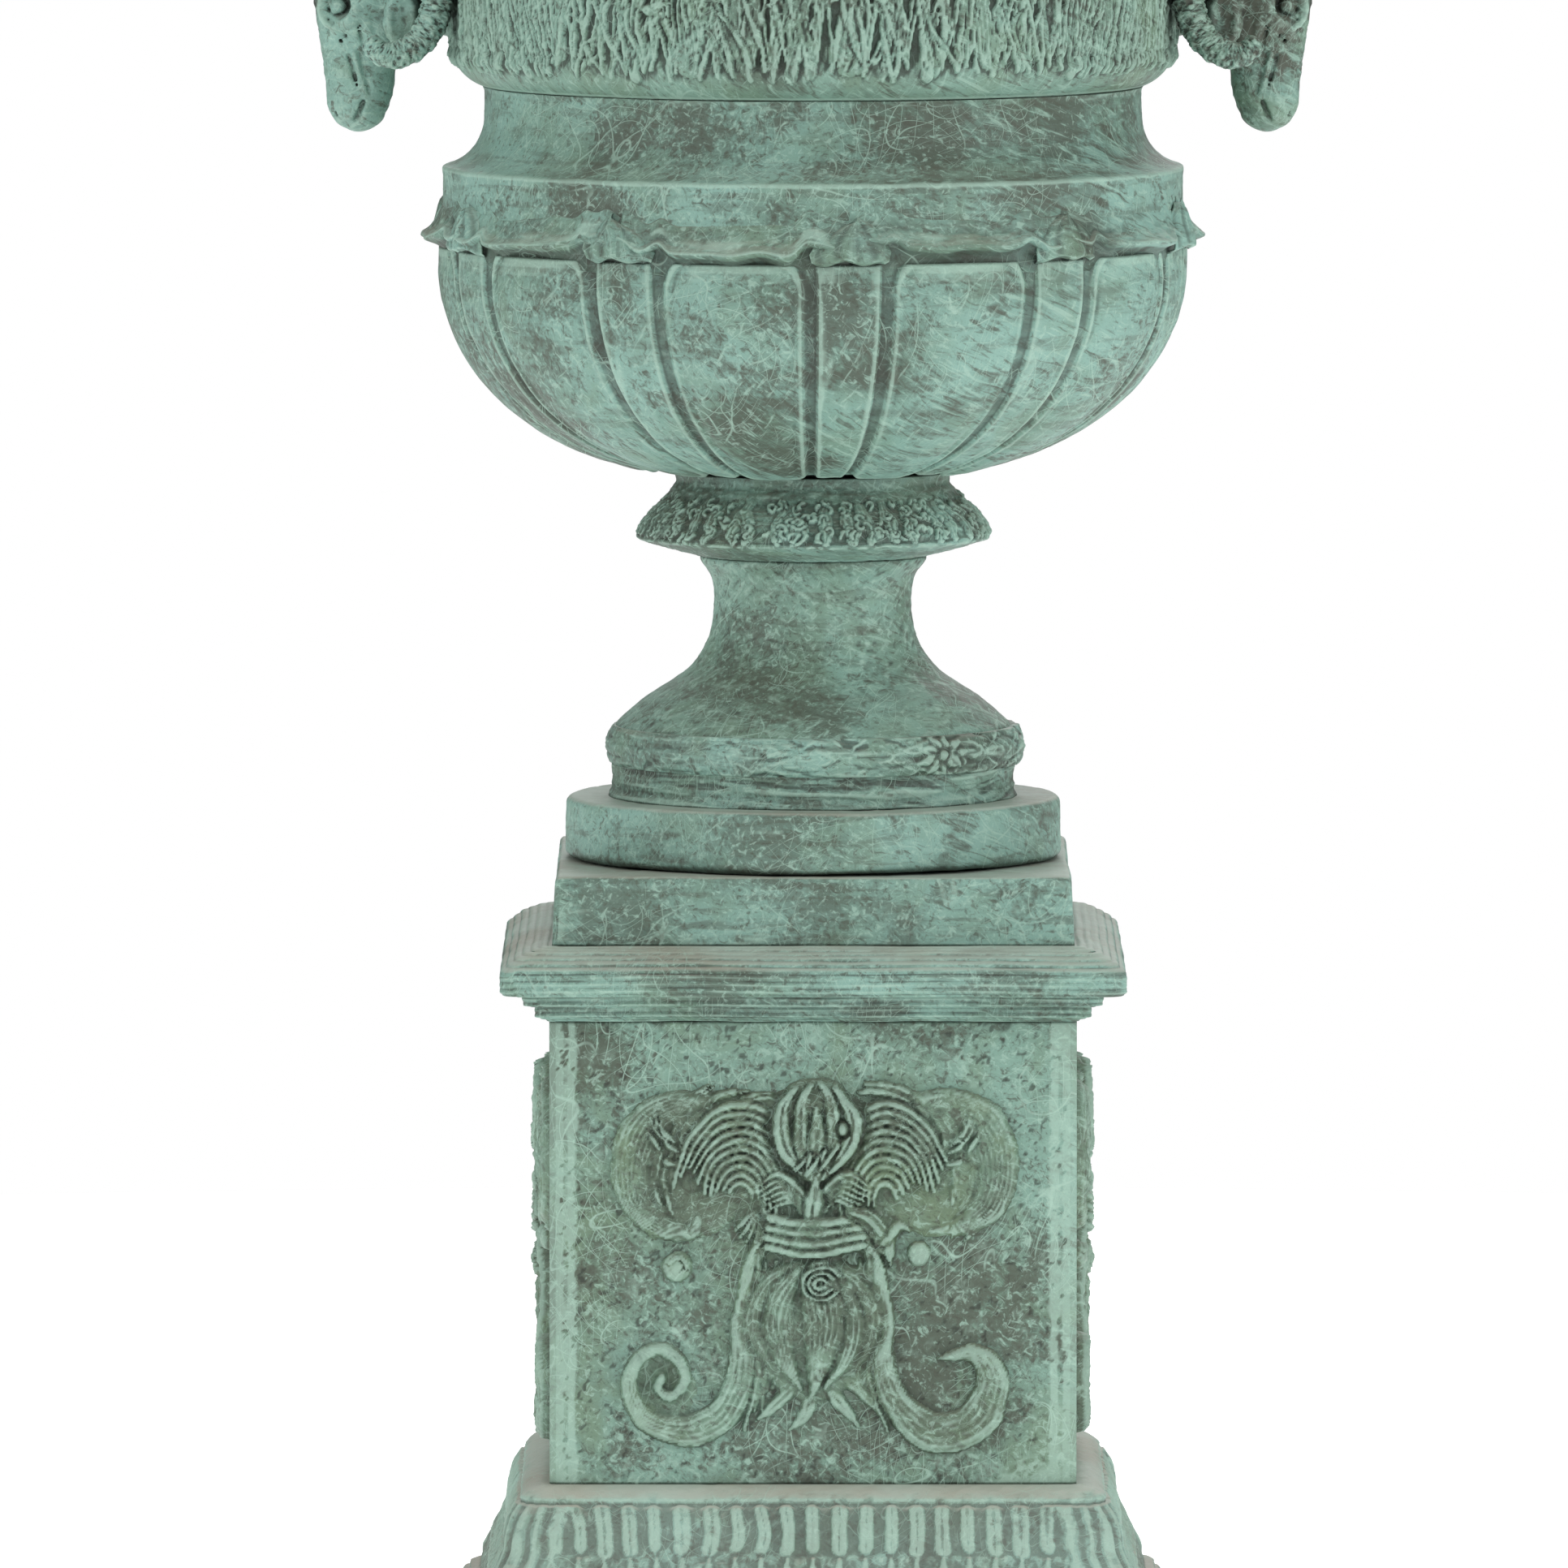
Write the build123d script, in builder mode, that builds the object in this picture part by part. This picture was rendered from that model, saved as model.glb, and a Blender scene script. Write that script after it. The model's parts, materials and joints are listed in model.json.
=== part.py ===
from build123d import *
import os
from math import cos, radians, sin

# A bronze garden urn with two ram heads, standing loose on a square bronze pedestal.
# Millimetres. Z is up and 0 at the floor, the front is -Y, the ram heads are at -X and +X.
# Each hollow casting is about WALL thick, and neighbours are bolted together through flanges.

# Driving dimensions ---------------------------------------------------------
WALL = 8.0
GAP = 0.3  # clearance between turned pieces that slide over each other

# Pedestal heights, from the floor up
PLINTH_TOP = 45.0
MOULDING_SHOULDER = 101.0  # where the slope ends and the quarter round begins
SHAFT_BOTTOM = 143.0
SHAFT_TOP = 455.0
CORNICE_TOP = 506.0
CAP_TOP = 552.0

# Pedestal half widths
PLINTH_HALF = 242.0
PLINTH_OPENING = 170.0
JOINT_FLANGE = 200.0  # inner edge of the flanges between footing and moulding
MOULDING_FOOT = 236.0
MOULDING_WAIST = 209.0
MOULDING_HEAD = 178.0
SHAFT_HALF = 177.0
SHAFT_FLANGE = 118.0  # inner edge of the flanges that clamp the shaft
CORNICE_HALF = 210.0
CAP_FOOT = 175.5
CAP_HEAD = 173.0
CAP_FLANGE = 145.0  # inner edge of the flanges between cornice and cap

# Urn heights
DISC_TOP = 594.0
FOOT_BAND_TOP = 617.0
LAUREL_TOP = 640.0
STEM_TOP = 757.0
COLLAR_TOP = 813.0
BOWL_WIDEST = 953.0
BOWL_SHOULDER = 960.0
BOWL_TOP = 988.0
FASCIA_TOP = 1021.0
WAIST_BOTTOM = 1056.0
WAIST_TOP = 1075.0
DRUM_BOTTOM = 1098.0
DRUM_TOP = 1262.0
NECK_BEAD_TOP = 1275.0
NECK_TOP = 1376.0
RIM_TOP = 1410.0

# Urn radii
DISC_R = 168.0
SPIGOT_R = 60.0
FOOT_BAND_R = 136.5
LAUREL_R = 144.0
FOOT_INNER_R = 128.0
STEM_WAIST_R = 67.0
STEM_TOP_R = 76.0
COLLAR_R = 121.5
COLLAR_NECK_R = 94.0
BOWL_FLOOR_R = 69.4
BOWL_R = 251.0
BOWL_NECK_R = 247.0
BOWL_FLANGE_R = 215.0
LEAF_TIP_R = 268.0
WAIST_R = 222.0
WAIST_FLANGE_R = 196.0
DRUM_R = 246.0
DRUM_FLANGE_R = 212.0
NECK_R = 240.0
NECK_TOP_R = 268.0
MOUTH_R = 228.0
RIM_R = 290.0

# Fasteners: shank radii, and the sizes of heads, nuts and washers from them
M12 = 6.0
M8 = 4.0
M6 = 3.0
TIE_ROD_R = 8.0
HOLE_CLEARANCE = 0.5
NUT_FIT = 0.05
HEX_RATIO = 1.85  # hexagon corner radius over shank radius
HEAD_RATIO = 1.3  # head height over shank radius
NUT_RATIO = 1.6  # nut height over shank radius
WASHER_RATIO = 2.1  # washer radius over shank radius
WASHER = 3.0
BOLT_TIP_RATIO = 2.4  # bolt length past the flanges over shank radius

# Places of fasteners, seen from above
JOINT_BOLT = 213.0
JOINT_BOLT_SPREAD = 130.0
ANCHOR_SPACING = 370.0
ANCHOR_HOLE_R = 7.0
CAP_BOLT = 155.0
CAP_BOLT_SPREAD = 80.0
SHAFT_ROD = 133.0
FLANGE_BOLTS = 8
BOWL_BOLT_R = 227.0
WAIST_BOLT_R = 206.0
NECK_BOLT_R = 222.0
RIM_BOLT_R = 238.0
DRAIN_CIRCLE_R = 40.0
DRAIN_HOLE_R = 6.0
DRAIN_HOLES = 4

# Shaft: panels, corner angles and reliefs
ANGLE_LEG = 30.0
ANGLE_THICK = 5.0
ANGLE_END_GAP = 4.0
ANGLE_SCREW = 150.0
ANGLE_SCREW_HEIGHTS = (190.0, 408.0)
EDGE_BEVEL = 1.5
RELIEF_PROUD = 14.5
RELIEF_STUDS = ((0.0, 385.0), (0.0, 215.0), (-92.0, 232.0), (92.0, 232.0))
SIDES = {"front": 0, "right": 90, "back": 180, "left": 270}
CORNERS = {"back_right": 0, "back_left": 90, "front_left": 180, "front_right": 270}

# Ram heads: for each height the offset of the section's centre from the urn's axis, its half
# thickness outward and its half width across the face
HEAD_SECTIONS = (
    (1044.0, 308.0, 12.0, 14.0),
    (1052.0, 308.0, 19.0, 21.0),
    (1078.0, 309.0, 22.0, 22.0),
    (1112.0, 306.0, 31.0, 30.0),
    (1146.0, 302.0, 38.0, 38.0),
    (1176.0, 294.0, 36.0, 36.0),
    (1198.0, 284.0, 22.0, 24.0),
)
HEAD_STUD_HEIGHTS = (1132.0, 1170.0)
HEAD_STUD_R = 5.0
HEAD_NECK = (1154.0, 38.0, 34.0)  # height of its axis, half width, half height
HORN_CENTRE = (292.0, 1138.0)  # offset from the urn's axis, and height
HORN_LOOP_R = 37.0
HORN_TUBE_R = 11.0
HORN_SWEEP = 205.0
HORN_OFFSET = 58.0  # from the head's middle plane
HORN_BOSS_R = 9.0
RAMS = {"left": -1, "right": 1}

pieces = []


def square_path(half):
    """A square about the upright axis, begun in the middle of its right side."""
    with BuildLine() as square:
        Polyline(
            (half, 0), (half, half), (-half, half), (-half, -half), (half, -half), (half, 0)
        )
    return square.wire()


def side_plane(turn, distance):
    """The upright plane this far out on the side at this turn from the front; its y is height."""
    t = radians(turn)
    outward = Vector(sin(t), -cos(t), 0)
    return Plane(origin=outward * distance, x_dir=(cos(t), sin(t), 0), z_dir=outward)


def polar_points(radius, count, start=0.0):
    """Points evenly spaced round the upright axis."""
    angles = [radians(start + 360 * i / count) for i in range(count)]
    return [(radius * cos(a), radius * sin(a)) for a in angles]


def side_points(far, spread):
    """Two points on each of the four sides of the pedestal."""
    return [
        point
        for sign in (-1, 1)
        for shift in (-spread, spread)
        for point in ((sign * far, shift), (shift, sign * far))
    ]


def corner_points(half):
    """The four corners of a square about the upright axis."""
    return [(x, y) for x in (-half, half) for y in (-half, half)]


def upright_bolts(name, points, shank_r, seat_z, tip_z):
    """Hexagon bolts with their heads below seat_z and their shanks up to tip_z."""
    with BuildPart() as bolts:
        with BuildSketch(Plane.XY.offset(seat_z)):
            with Locations(*points):
                RegularPolygon(HEX_RATIO * shank_r, 6)
        extrude(amount=-HEAD_RATIO * shank_r)
        with BuildSketch(Plane.XY.offset(seat_z)):
            with Locations(*points):
                Circle(shank_r)
        extrude(amount=tip_z - seat_z)
    bolts.part.label = name
    pieces.append(bolts.part)


def upright_nuts(name, points, shank_r, seats):
    """Hexagon nuts: each seat is a height, and +1 for a nut above it or -1 for one below."""
    with BuildPart() as nuts:
        for seat_z, sense in seats:
            with BuildSketch(Plane.XY.offset(seat_z)):
                with Locations(*points):
                    RegularPolygon(HEX_RATIO * shank_r, 6)
                    Circle(shank_r + NUT_FIT, mode=Mode.SUBTRACT)
            extrude(amount=sense * NUT_RATIO * shank_r)
    nuts.part.label = name
    pieces.append(nuts.part)


def upright_washers(name, points, shank_r, seats):
    """Plain washers: each seat is a height, and +1 for a washer above it or -1 for one below."""
    with BuildPart() as washers:
        for seat_z, sense in seats:
            with BuildSketch(Plane.XY.offset(seat_z)):
                with Locations(*points):
                    Circle(WASHER_RATIO * shank_r)
                    Circle(shank_r + HOLE_CLEARANCE, mode=Mode.SUBTRACT)
            extrude(amount=sense * WASHER)
    washers.part.label = name
    pieces.append(washers.part)


def upright_rods(name, points, radius, bottom, top):
    """Plain round rods between two heights."""
    with BuildPart() as rods:
        with BuildSketch(Plane.XY.offset(bottom)):
            with Locations(*points):
                Circle(radius)
        extrude(amount=top - bottom)
    rods.part.label = name
    pieces.append(rods.part)


# Square footing: a hollow casting open inside, with flanges for anchors and for the moulding ----
with BuildPart() as base_plinth:
    with BuildSketch(Plane.XZ):
        with BuildLine():
            Polyline(
                (PLINTH_OPENING, 0),
                (PLINTH_HALF, 0),
                (PLINTH_HALF, PLINTH_TOP),
                (JOINT_FLANGE, PLINTH_TOP),
                (JOINT_FLANGE, PLINTH_TOP - WALL),
                (PLINTH_HALF - WALL, PLINTH_TOP - WALL),
                (PLINTH_HALF - WALL, WALL),
                (PLINTH_OPENING, WALL),
                close=True,
            )
        make_face()
    sweep(path=square_path(JOINT_FLANGE), transition=Transition.RIGHT)
    with GridLocations(ANCHOR_SPACING, ANCHOR_SPACING, 2, 2):
        with Locations((0, 0, WALL)):
            Hole(ANCHOR_HOLE_R, depth=WALL)
    with Locations(*[(x, y, PLINTH_TOP) for x, y in side_points(JOINT_BOLT, JOINT_BOLT_SPREAD)]):
        Hole(M8 + HOLE_CLEARANCE, depth=WALL)
base_plinth.part.label = "base_plinth"
pieces.append(base_plinth.part)

# Base moulding: a steep slope under a quarter round, with a flange that carries the shaft -------
MOULDING_ROUND_OUT = MOULDING_WAIST - MOULDING_HEAD
MOULDING_ROUND_UP = SHAFT_BOTTOM - MOULDING_SHOULDER
MOULDING_FLANGE = 10.0
MOULDING_FILLET = 5.0
MOULDING_WALL = 1.3 * WALL  # the slope's wall, measured level
with BuildPart() as base_moulding:
    with BuildSketch(Plane.XZ):
        with BuildLine():
            Polyline(
                (MOULDING_WAIST, MOULDING_SHOULDER),
                (MOULDING_FOOT, PLINTH_TOP + MOULDING_FILLET),
                (MOULDING_FOOT, PLINTH_TOP),
                (JOINT_FLANGE, PLINTH_TOP),
                (JOINT_FLANGE, PLINTH_TOP + WALL),
                (MOULDING_FOOT - MOULDING_WALL, PLINTH_TOP + WALL),
                (MOULDING_WAIST - MOULDING_WALL, MOULDING_SHOULDER),
                (MOULDING_HEAD + WALL, SHAFT_BOTTOM - MOULDING_FLANGE),
                (SHAFT_FLANGE, SHAFT_BOTTOM - MOULDING_FLANGE),
                (SHAFT_FLANGE, SHAFT_BOTTOM),
                (MOULDING_HEAD, SHAFT_BOTTOM),
            )
            EllipticalCenterArc(
                (MOULDING_HEAD, MOULDING_SHOULDER), MOULDING_ROUND_OUT, MOULDING_ROUND_UP, arc_size=90
            )
        make_face()
    sweep(path=square_path(SHAFT_HALF), transition=Transition.RIGHT)
    with Locations(
        *[(x, y, PLINTH_TOP + WALL) for x, y in side_points(JOINT_BOLT, JOINT_BOLT_SPREAD)]
    ):
        Hole(M8 + HOLE_CLEARANCE, depth=WALL)
    with Locations(*[(x, y, SHAFT_BOTTOM) for x, y in corner_points(SHAFT_ROD)]):
        Hole(M12 + HOLE_CLEARANCE, depth=MOULDING_FLANGE)
base_moulding.part.label = "base_moulding"
pieces.append(base_moulding.part)

joint_points = side_points(JOINT_BOLT, JOINT_BOLT_SPREAD)
JOINT_BOLT_TIP = PLINTH_TOP + WALL + BOLT_TIP_RATIO * M8
upright_bolts("base_bolts", joint_points, M8, PLINTH_TOP - WALL, JOINT_BOLT_TIP)
upright_nuts("base_nuts", joint_points, M8, [(PLINTH_TOP + WALL, 1)])

# Shaft: four flat panels, the front and back ones lapping over the ends of the side ones -------
SHAFT_HEIGHT = SHAFT_TOP - SHAFT_BOTTOM
SHAFT_INNER = SHAFT_HALF - WALL
SHAFT_MIDDLE = (SHAFT_BOTTOM + SHAFT_TOP) / 2
SCREW_DEPTH = 5.0
angle_screw_points = [(x, z) for x in (-ANGLE_SCREW, ANGLE_SCREW) for z in ANGLE_SCREW_HEIGHTS]
for side, turn in SIDES.items():
    laps = side in ("front", "back")
    half_width = SHAFT_HALF if laps else SHAFT_INNER
    with BuildPart() as panel:
        with BuildSketch(side_plane(turn, SHAFT_INNER)):
            with Locations((0, SHAFT_MIDDLE)):
                Rectangle(2 * half_width, SHAFT_HEIGHT)
            with Locations(*RELIEF_STUDS):
                Circle(M6 + HOLE_CLEARANCE, mode=Mode.SUBTRACT)
        extrude(amount=WALL)
        with BuildSketch(side_plane(turn, SHAFT_INNER)):
            with Locations(*angle_screw_points):
                Circle(M6 + NUT_FIT)
        extrude(amount=SCREW_DEPTH, mode=Mode.SUBTRACT)
        if laps:
            upright = panel.edges().filter_by(Axis.Z)
            chamfer(upright.group_by(Axis.Y)[0 if side == "front" else -1], EDGE_BEVEL)
    panel.part.label = f"shaft_panel_{side}"
    pieces.append(panel.part)

# Angle irons in the shaft's corners, and the screws that hold the panels to them ----------------
for corner, turn in CORNERS.items():
    t = radians(turn)
    floor = Plane(
        origin=(0, 0, SHAFT_BOTTOM + ANGLE_END_GAP), x_dir=(cos(t), sin(t), 0), z_dir=(0, 0, 1)
    )
    with BuildPart() as angle:
        with BuildSketch(floor):
            with BuildLine():
                Polyline(
                    (SHAFT_INNER, SHAFT_INNER),
                    (SHAFT_INNER - ANGLE_LEG, SHAFT_INNER),
                    (SHAFT_INNER - ANGLE_LEG, SHAFT_INNER - ANGLE_THICK),
                    (SHAFT_INNER - ANGLE_THICK, SHAFT_INNER - ANGLE_THICK),
                    (SHAFT_INNER - ANGLE_THICK, SHAFT_INNER - ANGLE_LEG),
                    (SHAFT_INNER, SHAFT_INNER - ANGLE_LEG),
                    close=True,
                )
            make_face()
        extrude(amount=SHAFT_HEIGHT - 2 * ANGLE_END_GAP)
        for side_turn in SIDES.values():
            with BuildSketch(side_plane(side_turn, SHAFT_INNER - ANGLE_THICK)):
                with Locations(*angle_screw_points):
                    Circle(M6 + HOLE_CLEARANCE)
            extrude(amount=ANGLE_THICK, mode=Mode.SUBTRACT)
    angle.part.label = f"corner_angle_{corner}"
    pieces.append(angle.part)

SCREW_HEAD_R = 5.0
SCREW_HEAD = 4.0
with BuildPart() as panel_screws:
    for turn in SIDES.values():
        with BuildSketch(side_plane(turn, SHAFT_INNER - ANGLE_THICK)):
            with Locations(*angle_screw_points):
                Circle(M6)
        extrude(amount=ANGLE_THICK + SCREW_DEPTH)
        with BuildSketch(side_plane(turn, SHAFT_INNER - ANGLE_THICK)):
            with Locations(*angle_screw_points):
                Circle(SCREW_HEAD_R)
        extrude(amount=-SCREW_HEAD)
panel_screws.part.label = "panel_screws"
pieces.append(panel_screws.part)

# Relief ornaments: a bud over two plumes, a binding, a hanging husk and two volutes -------------
PLUME_WIDTH = 34.0
VOLUTE_STEM_WIDTH = 16.0
VOLUTE_R = 37.0
VOLUTE_CENTRE = (97.0, 206.0)
RELIEF_STUD_LENGTH = WALL + NUT_RATIO * M6 + 3.0
for side, turn in SIDES.items():
    with BuildPart() as relief:
        with BuildSketch(side_plane(turn, SHAFT_HALF)):
            with Locations((0, 378)):
                Ellipse(30, 40)
            with Locations((0, 300)):
                Rectangle(74, 100)
            with Locations((0, 222)):
                Ellipse(34, 54)
            for sign in (-1, 1):
                with BuildLine() as plume:
                    Spline((sign * 16, 290), (sign * 56, 372), (sign * 112, 350), (sign * 84, 298))
                trace(plume.line, PLUME_WIDTH)
                with BuildLine() as stem:
                    ThreePointArc((sign * 22, 285), (sign * 45, 230), (sign * 100, 179))
                trace(stem.line, VOLUTE_STEM_WIDTH)
                with Locations((sign * VOLUTE_CENTRE[0], VOLUTE_CENTRE[1])):
                    Circle(VOLUTE_R)
        extrude(amount=RELIEF_PROUD)
        with BuildSketch(side_plane(turn, SHAFT_HALF)):
            with Locations(*RELIEF_STUDS):
                Circle(M6)
        extrude(amount=-RELIEF_STUD_LENGTH)
    relief.part.label = f"relief_{side}"
    pieces.append(relief.part)

with BuildPart() as relief_nuts:
    for turn in SIDES.values():
        with BuildSketch(side_plane(turn, SHAFT_INNER)):
            with Locations(*RELIEF_STUDS):
                RegularPolygon(HEX_RATIO * M6, 6)
                Circle(M6 + NUT_FIT, mode=Mode.SUBTRACT)
        extrude(amount=-NUT_RATIO * M6)
relief_nuts.part.label = "relief_nuts"
pieces.append(relief_nuts.part)

# Cornice: two small steps, a fascia and a rounded top, with a flange above and below ------------
STEP_LOW = 186.5
STEP_HIGH = 195.0
STEP_LOW_BOTTOM = SHAFT_TOP + 3.0
STEP_HIGH_BOTTOM = SHAFT_TOP + 11.0
FASCIA_BOTTOM = SHAFT_TOP + 19.5
FASCIA_EDGE = SHAFT_TOP + 34.5
with BuildPart() as cornice:
    with BuildSketch(Plane.XZ):
        with BuildLine():
            Polyline(
                (SHAFT_FLANGE, SHAFT_TOP),
                (SHAFT_HALF, SHAFT_TOP),
                (STEP_LOW, STEP_LOW_BOTTOM),
                (STEP_LOW, STEP_HIGH_BOTTOM),
                (STEP_HIGH, STEP_HIGH_BOTTOM),
                (STEP_HIGH, FASCIA_BOTTOM),
                (CORNICE_HALF, FASCIA_BOTTOM),
                (CORNICE_HALF, FASCIA_EDGE),
            )
            ThreePointArc((CORNICE_HALF, FASCIA_EDGE), (194.5, 501.3), (CAP_FOOT, CORNICE_TOP))
            Polyline(
                (CAP_FOOT, CORNICE_TOP),
                (CAP_FLANGE, CORNICE_TOP),
                (CAP_FLANGE, CORNICE_TOP - WALL),
                (SHAFT_HALF, CORNICE_TOP - WALL),
                (STEP_HIGH, FASCIA_EDGE - 4.0),
                (STEP_HIGH, FASCIA_BOTTOM + WALL),
                (SHAFT_HALF, FASCIA_BOTTOM),
                (SHAFT_HALF, SHAFT_TOP + WALL),
                (SHAFT_FLANGE, SHAFT_TOP + WALL),
                (SHAFT_FLANGE, SHAFT_TOP),
            )
        make_face()
    sweep(path=square_path(SHAFT_INNER), transition=Transition.RIGHT)
    with Locations(*[(x, y, SHAFT_TOP + WALL) for x, y in corner_points(SHAFT_ROD)]):
        Hole(M12 + HOLE_CLEARANCE, depth=WALL)
    with Locations(*[(x, y, CORNICE_TOP) for x, y in side_points(CAP_BOLT, CAP_BOLT_SPREAD)]):
        Hole(M8 + HOLE_CLEARANCE, depth=WALL)
cornice.part.label = "cornice"
pieces.append(cornice.part)

# Four tie rods clamp moulding, shaft and cornice together ---------------------------------------
ROD_TIP = 22.0
rod_points = corner_points(SHAFT_ROD)
rod_low_seat = SHAFT_BOTTOM - MOULDING_FLANGE
rod_high_seat = SHAFT_TOP + WALL
upright_rods("shaft_tie_rods", rod_points, M12, rod_low_seat - ROD_TIP, rod_high_seat + ROD_TIP)
upright_washers("shaft_tie_washers", rod_points, M12, [(rod_low_seat, -1), (rod_high_seat, 1)])
upright_nuts(
    "shaft_tie_nuts", rod_points, M12, [(rod_low_seat - WASHER, -1), (rod_high_seat + WASHER, 1)]
)

# Cap: a slightly tapered hollow block, open below, whose hole locates the urn -------------------
CAP_HEIGHT = CAP_TOP - CORNICE_TOP
CAP_PLATE = 10.0
CAP_INNER = CAP_HEAD - WALL
CAP_HOLE_R = SPIGOT_R + 1.5
cap_foot_outline = Plane.XY.offset(CORNICE_TOP)
with BuildPart() as cap_plinth:
    with BuildSketch(cap_foot_outline):
        Rectangle(2 * CAP_FOOT, 2 * CAP_FOOT)
    with BuildSketch(Plane.XY.offset(CAP_TOP)):
        Rectangle(2 * CAP_HEAD, 2 * CAP_HEAD)
    loft()
    chamfer(cap_plinth.edges().group_by(Axis.Z)[-1], EDGE_BEVEL)
    with BuildSketch(cap_foot_outline):
        Rectangle(2 * CAP_FLANGE, 2 * CAP_FLANGE)
    extrude(amount=WALL, mode=Mode.SUBTRACT)
    with BuildSketch(Plane.XY.offset(CORNICE_TOP + WALL)):
        Rectangle(2 * CAP_INNER, 2 * CAP_INNER)
    extrude(amount=CAP_HEIGHT - CAP_PLATE - WALL, mode=Mode.SUBTRACT)
    with Locations((0, 0, CAP_TOP)):
        Hole(CAP_HOLE_R, depth=CAP_PLATE)
    with Locations(
        *[(x, y, CORNICE_TOP + WALL) for x, y in side_points(CAP_BOLT, CAP_BOLT_SPREAD)]
    ):
        Hole(M8 + HOLE_CLEARANCE, depth=WALL)
cap_plinth.part.label = "cap_plinth"
pieces.append(cap_plinth.part)

cap_points = side_points(CAP_BOLT, CAP_BOLT_SPREAD)
CAP_BOLT_TIP = CORNICE_TOP + WALL + BOLT_TIP_RATIO * M8
upright_bolts("cap_bolts", cap_points, M8, CORNICE_TOP - WALL, CAP_BOLT_TIP)
upright_nuts("cap_nuts", cap_points, M8, [(CORNICE_TOP + WALL, 1)])

# Round disc under the urn's foot, with a spigot that hangs in the cap's hole --------------------
DISC_PLATE = 10.0
SPIGOT_DEPTH = 22.0
DISC_EDGE = 2.0
ROD_HOLE_R = TIE_ROD_R + 1.0
drain_points = polar_points(DRAIN_CIRCLE_R, DRAIN_HOLES, start=45)
with BuildPart() as round_plinth:
    with BuildSketch(Plane.XZ):
        with BuildLine():
            Polyline(
                (ROD_HOLE_R, DISC_TOP),
                (DISC_R - DISC_EDGE, DISC_TOP),
                (DISC_R, DISC_TOP - DISC_EDGE),
                (DISC_R, CAP_TOP + DISC_EDGE),
                (DISC_R - DISC_EDGE, CAP_TOP),
                (DISC_R - WALL, CAP_TOP),
                (DISC_R - WALL, DISC_TOP - DISC_PLATE),
                (SPIGOT_R, DISC_TOP - DISC_PLATE),
                (SPIGOT_R, CAP_TOP - SPIGOT_DEPTH),
                (SPIGOT_R - WALL, CAP_TOP - SPIGOT_DEPTH),
                (SPIGOT_R - WALL, DISC_TOP - DISC_PLATE),
                (ROD_HOLE_R, DISC_TOP - DISC_PLATE),
                close=True,
            )
        make_face()
    revolve(axis=Axis.Z)
    with Locations(*[(x, y, DISC_TOP) for x, y in drain_points]):
        Hole(DRAIN_HOLE_R, depth=DISC_PLATE)
round_plinth.part.label = "round_plinth"
pieces.append(round_plinth.part)

# Foot: a plain band, a laurel torus and a flaring stem ------------------------------------------
with BuildPart() as foot_band:
    with BuildSketch(Plane.XZ):
        with BuildLine():
            Polyline(
                (FOOT_INNER_R, DISC_TOP),
                (FOOT_BAND_R + 2.0, DISC_TOP),
                (FOOT_BAND_R, DISC_TOP + 4.0),
                (FOOT_BAND_R, FOOT_BAND_TOP),
                (FOOT_INNER_R, FOOT_BAND_TOP),
                close=True,
            )
        make_face()
    revolve(axis=Axis.Z)
foot_band.part.label = "foot_band"
pieces.append(foot_band.part)

LAUREL_SEAT_R = 135.0
with BuildPart() as laurel_ring:
    with BuildSketch(Plane.XZ):
        with BuildLine():
            ThreePointArc(
                (LAUREL_SEAT_R, FOOT_BAND_TOP),
                (LAUREL_R, (FOOT_BAND_TOP + LAUREL_TOP) / 2),
                (LAUREL_SEAT_R, LAUREL_TOP),
            )
            Polyline(
                (LAUREL_SEAT_R, LAUREL_TOP),
                (FOOT_INNER_R, LAUREL_TOP),
                (FOOT_INNER_R, FOOT_BAND_TOP),
                (LAUREL_SEAT_R, FOOT_BAND_TOP),
            )
        make_face()
    revolve(axis=Axis.Z)
laurel_ring.part.label = "laurel_ring"
pieces.append(laurel_ring.part)

with BuildPart() as stem:
    with BuildSketch(Plane.XZ):
        with BuildLine():
            Spline(
                (134, LAUREL_TOP), (116, 660), (84, 679), (STEM_WAIST_R, 722), (STEM_TOP_R, STEM_TOP)
            )
            Polyline(
                (STEM_TOP_R, STEM_TOP),
                (ROD_HOLE_R, STEM_TOP),
                (ROD_HOLE_R, STEM_TOP - WALL),
                (STEM_WAIST_R - 2.0, STEM_TOP - WALL),
            )
            Spline(
                (STEM_WAIST_R - 2.0, STEM_TOP - WALL), (58, 720), (74, 673), (105, 654), (123, LAUREL_TOP)
            )
            Line((123, LAUREL_TOP), (134, LAUREL_TOP))
        make_face()
    revolve(axis=Axis.Z)
    with Locations(*[(x, y, STEM_TOP) for x, y in drain_points]):
        Hole(DRAIN_HOLE_R, depth=WALL)
stem.part.label = "stem"
pieces.append(stem.part)

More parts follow.
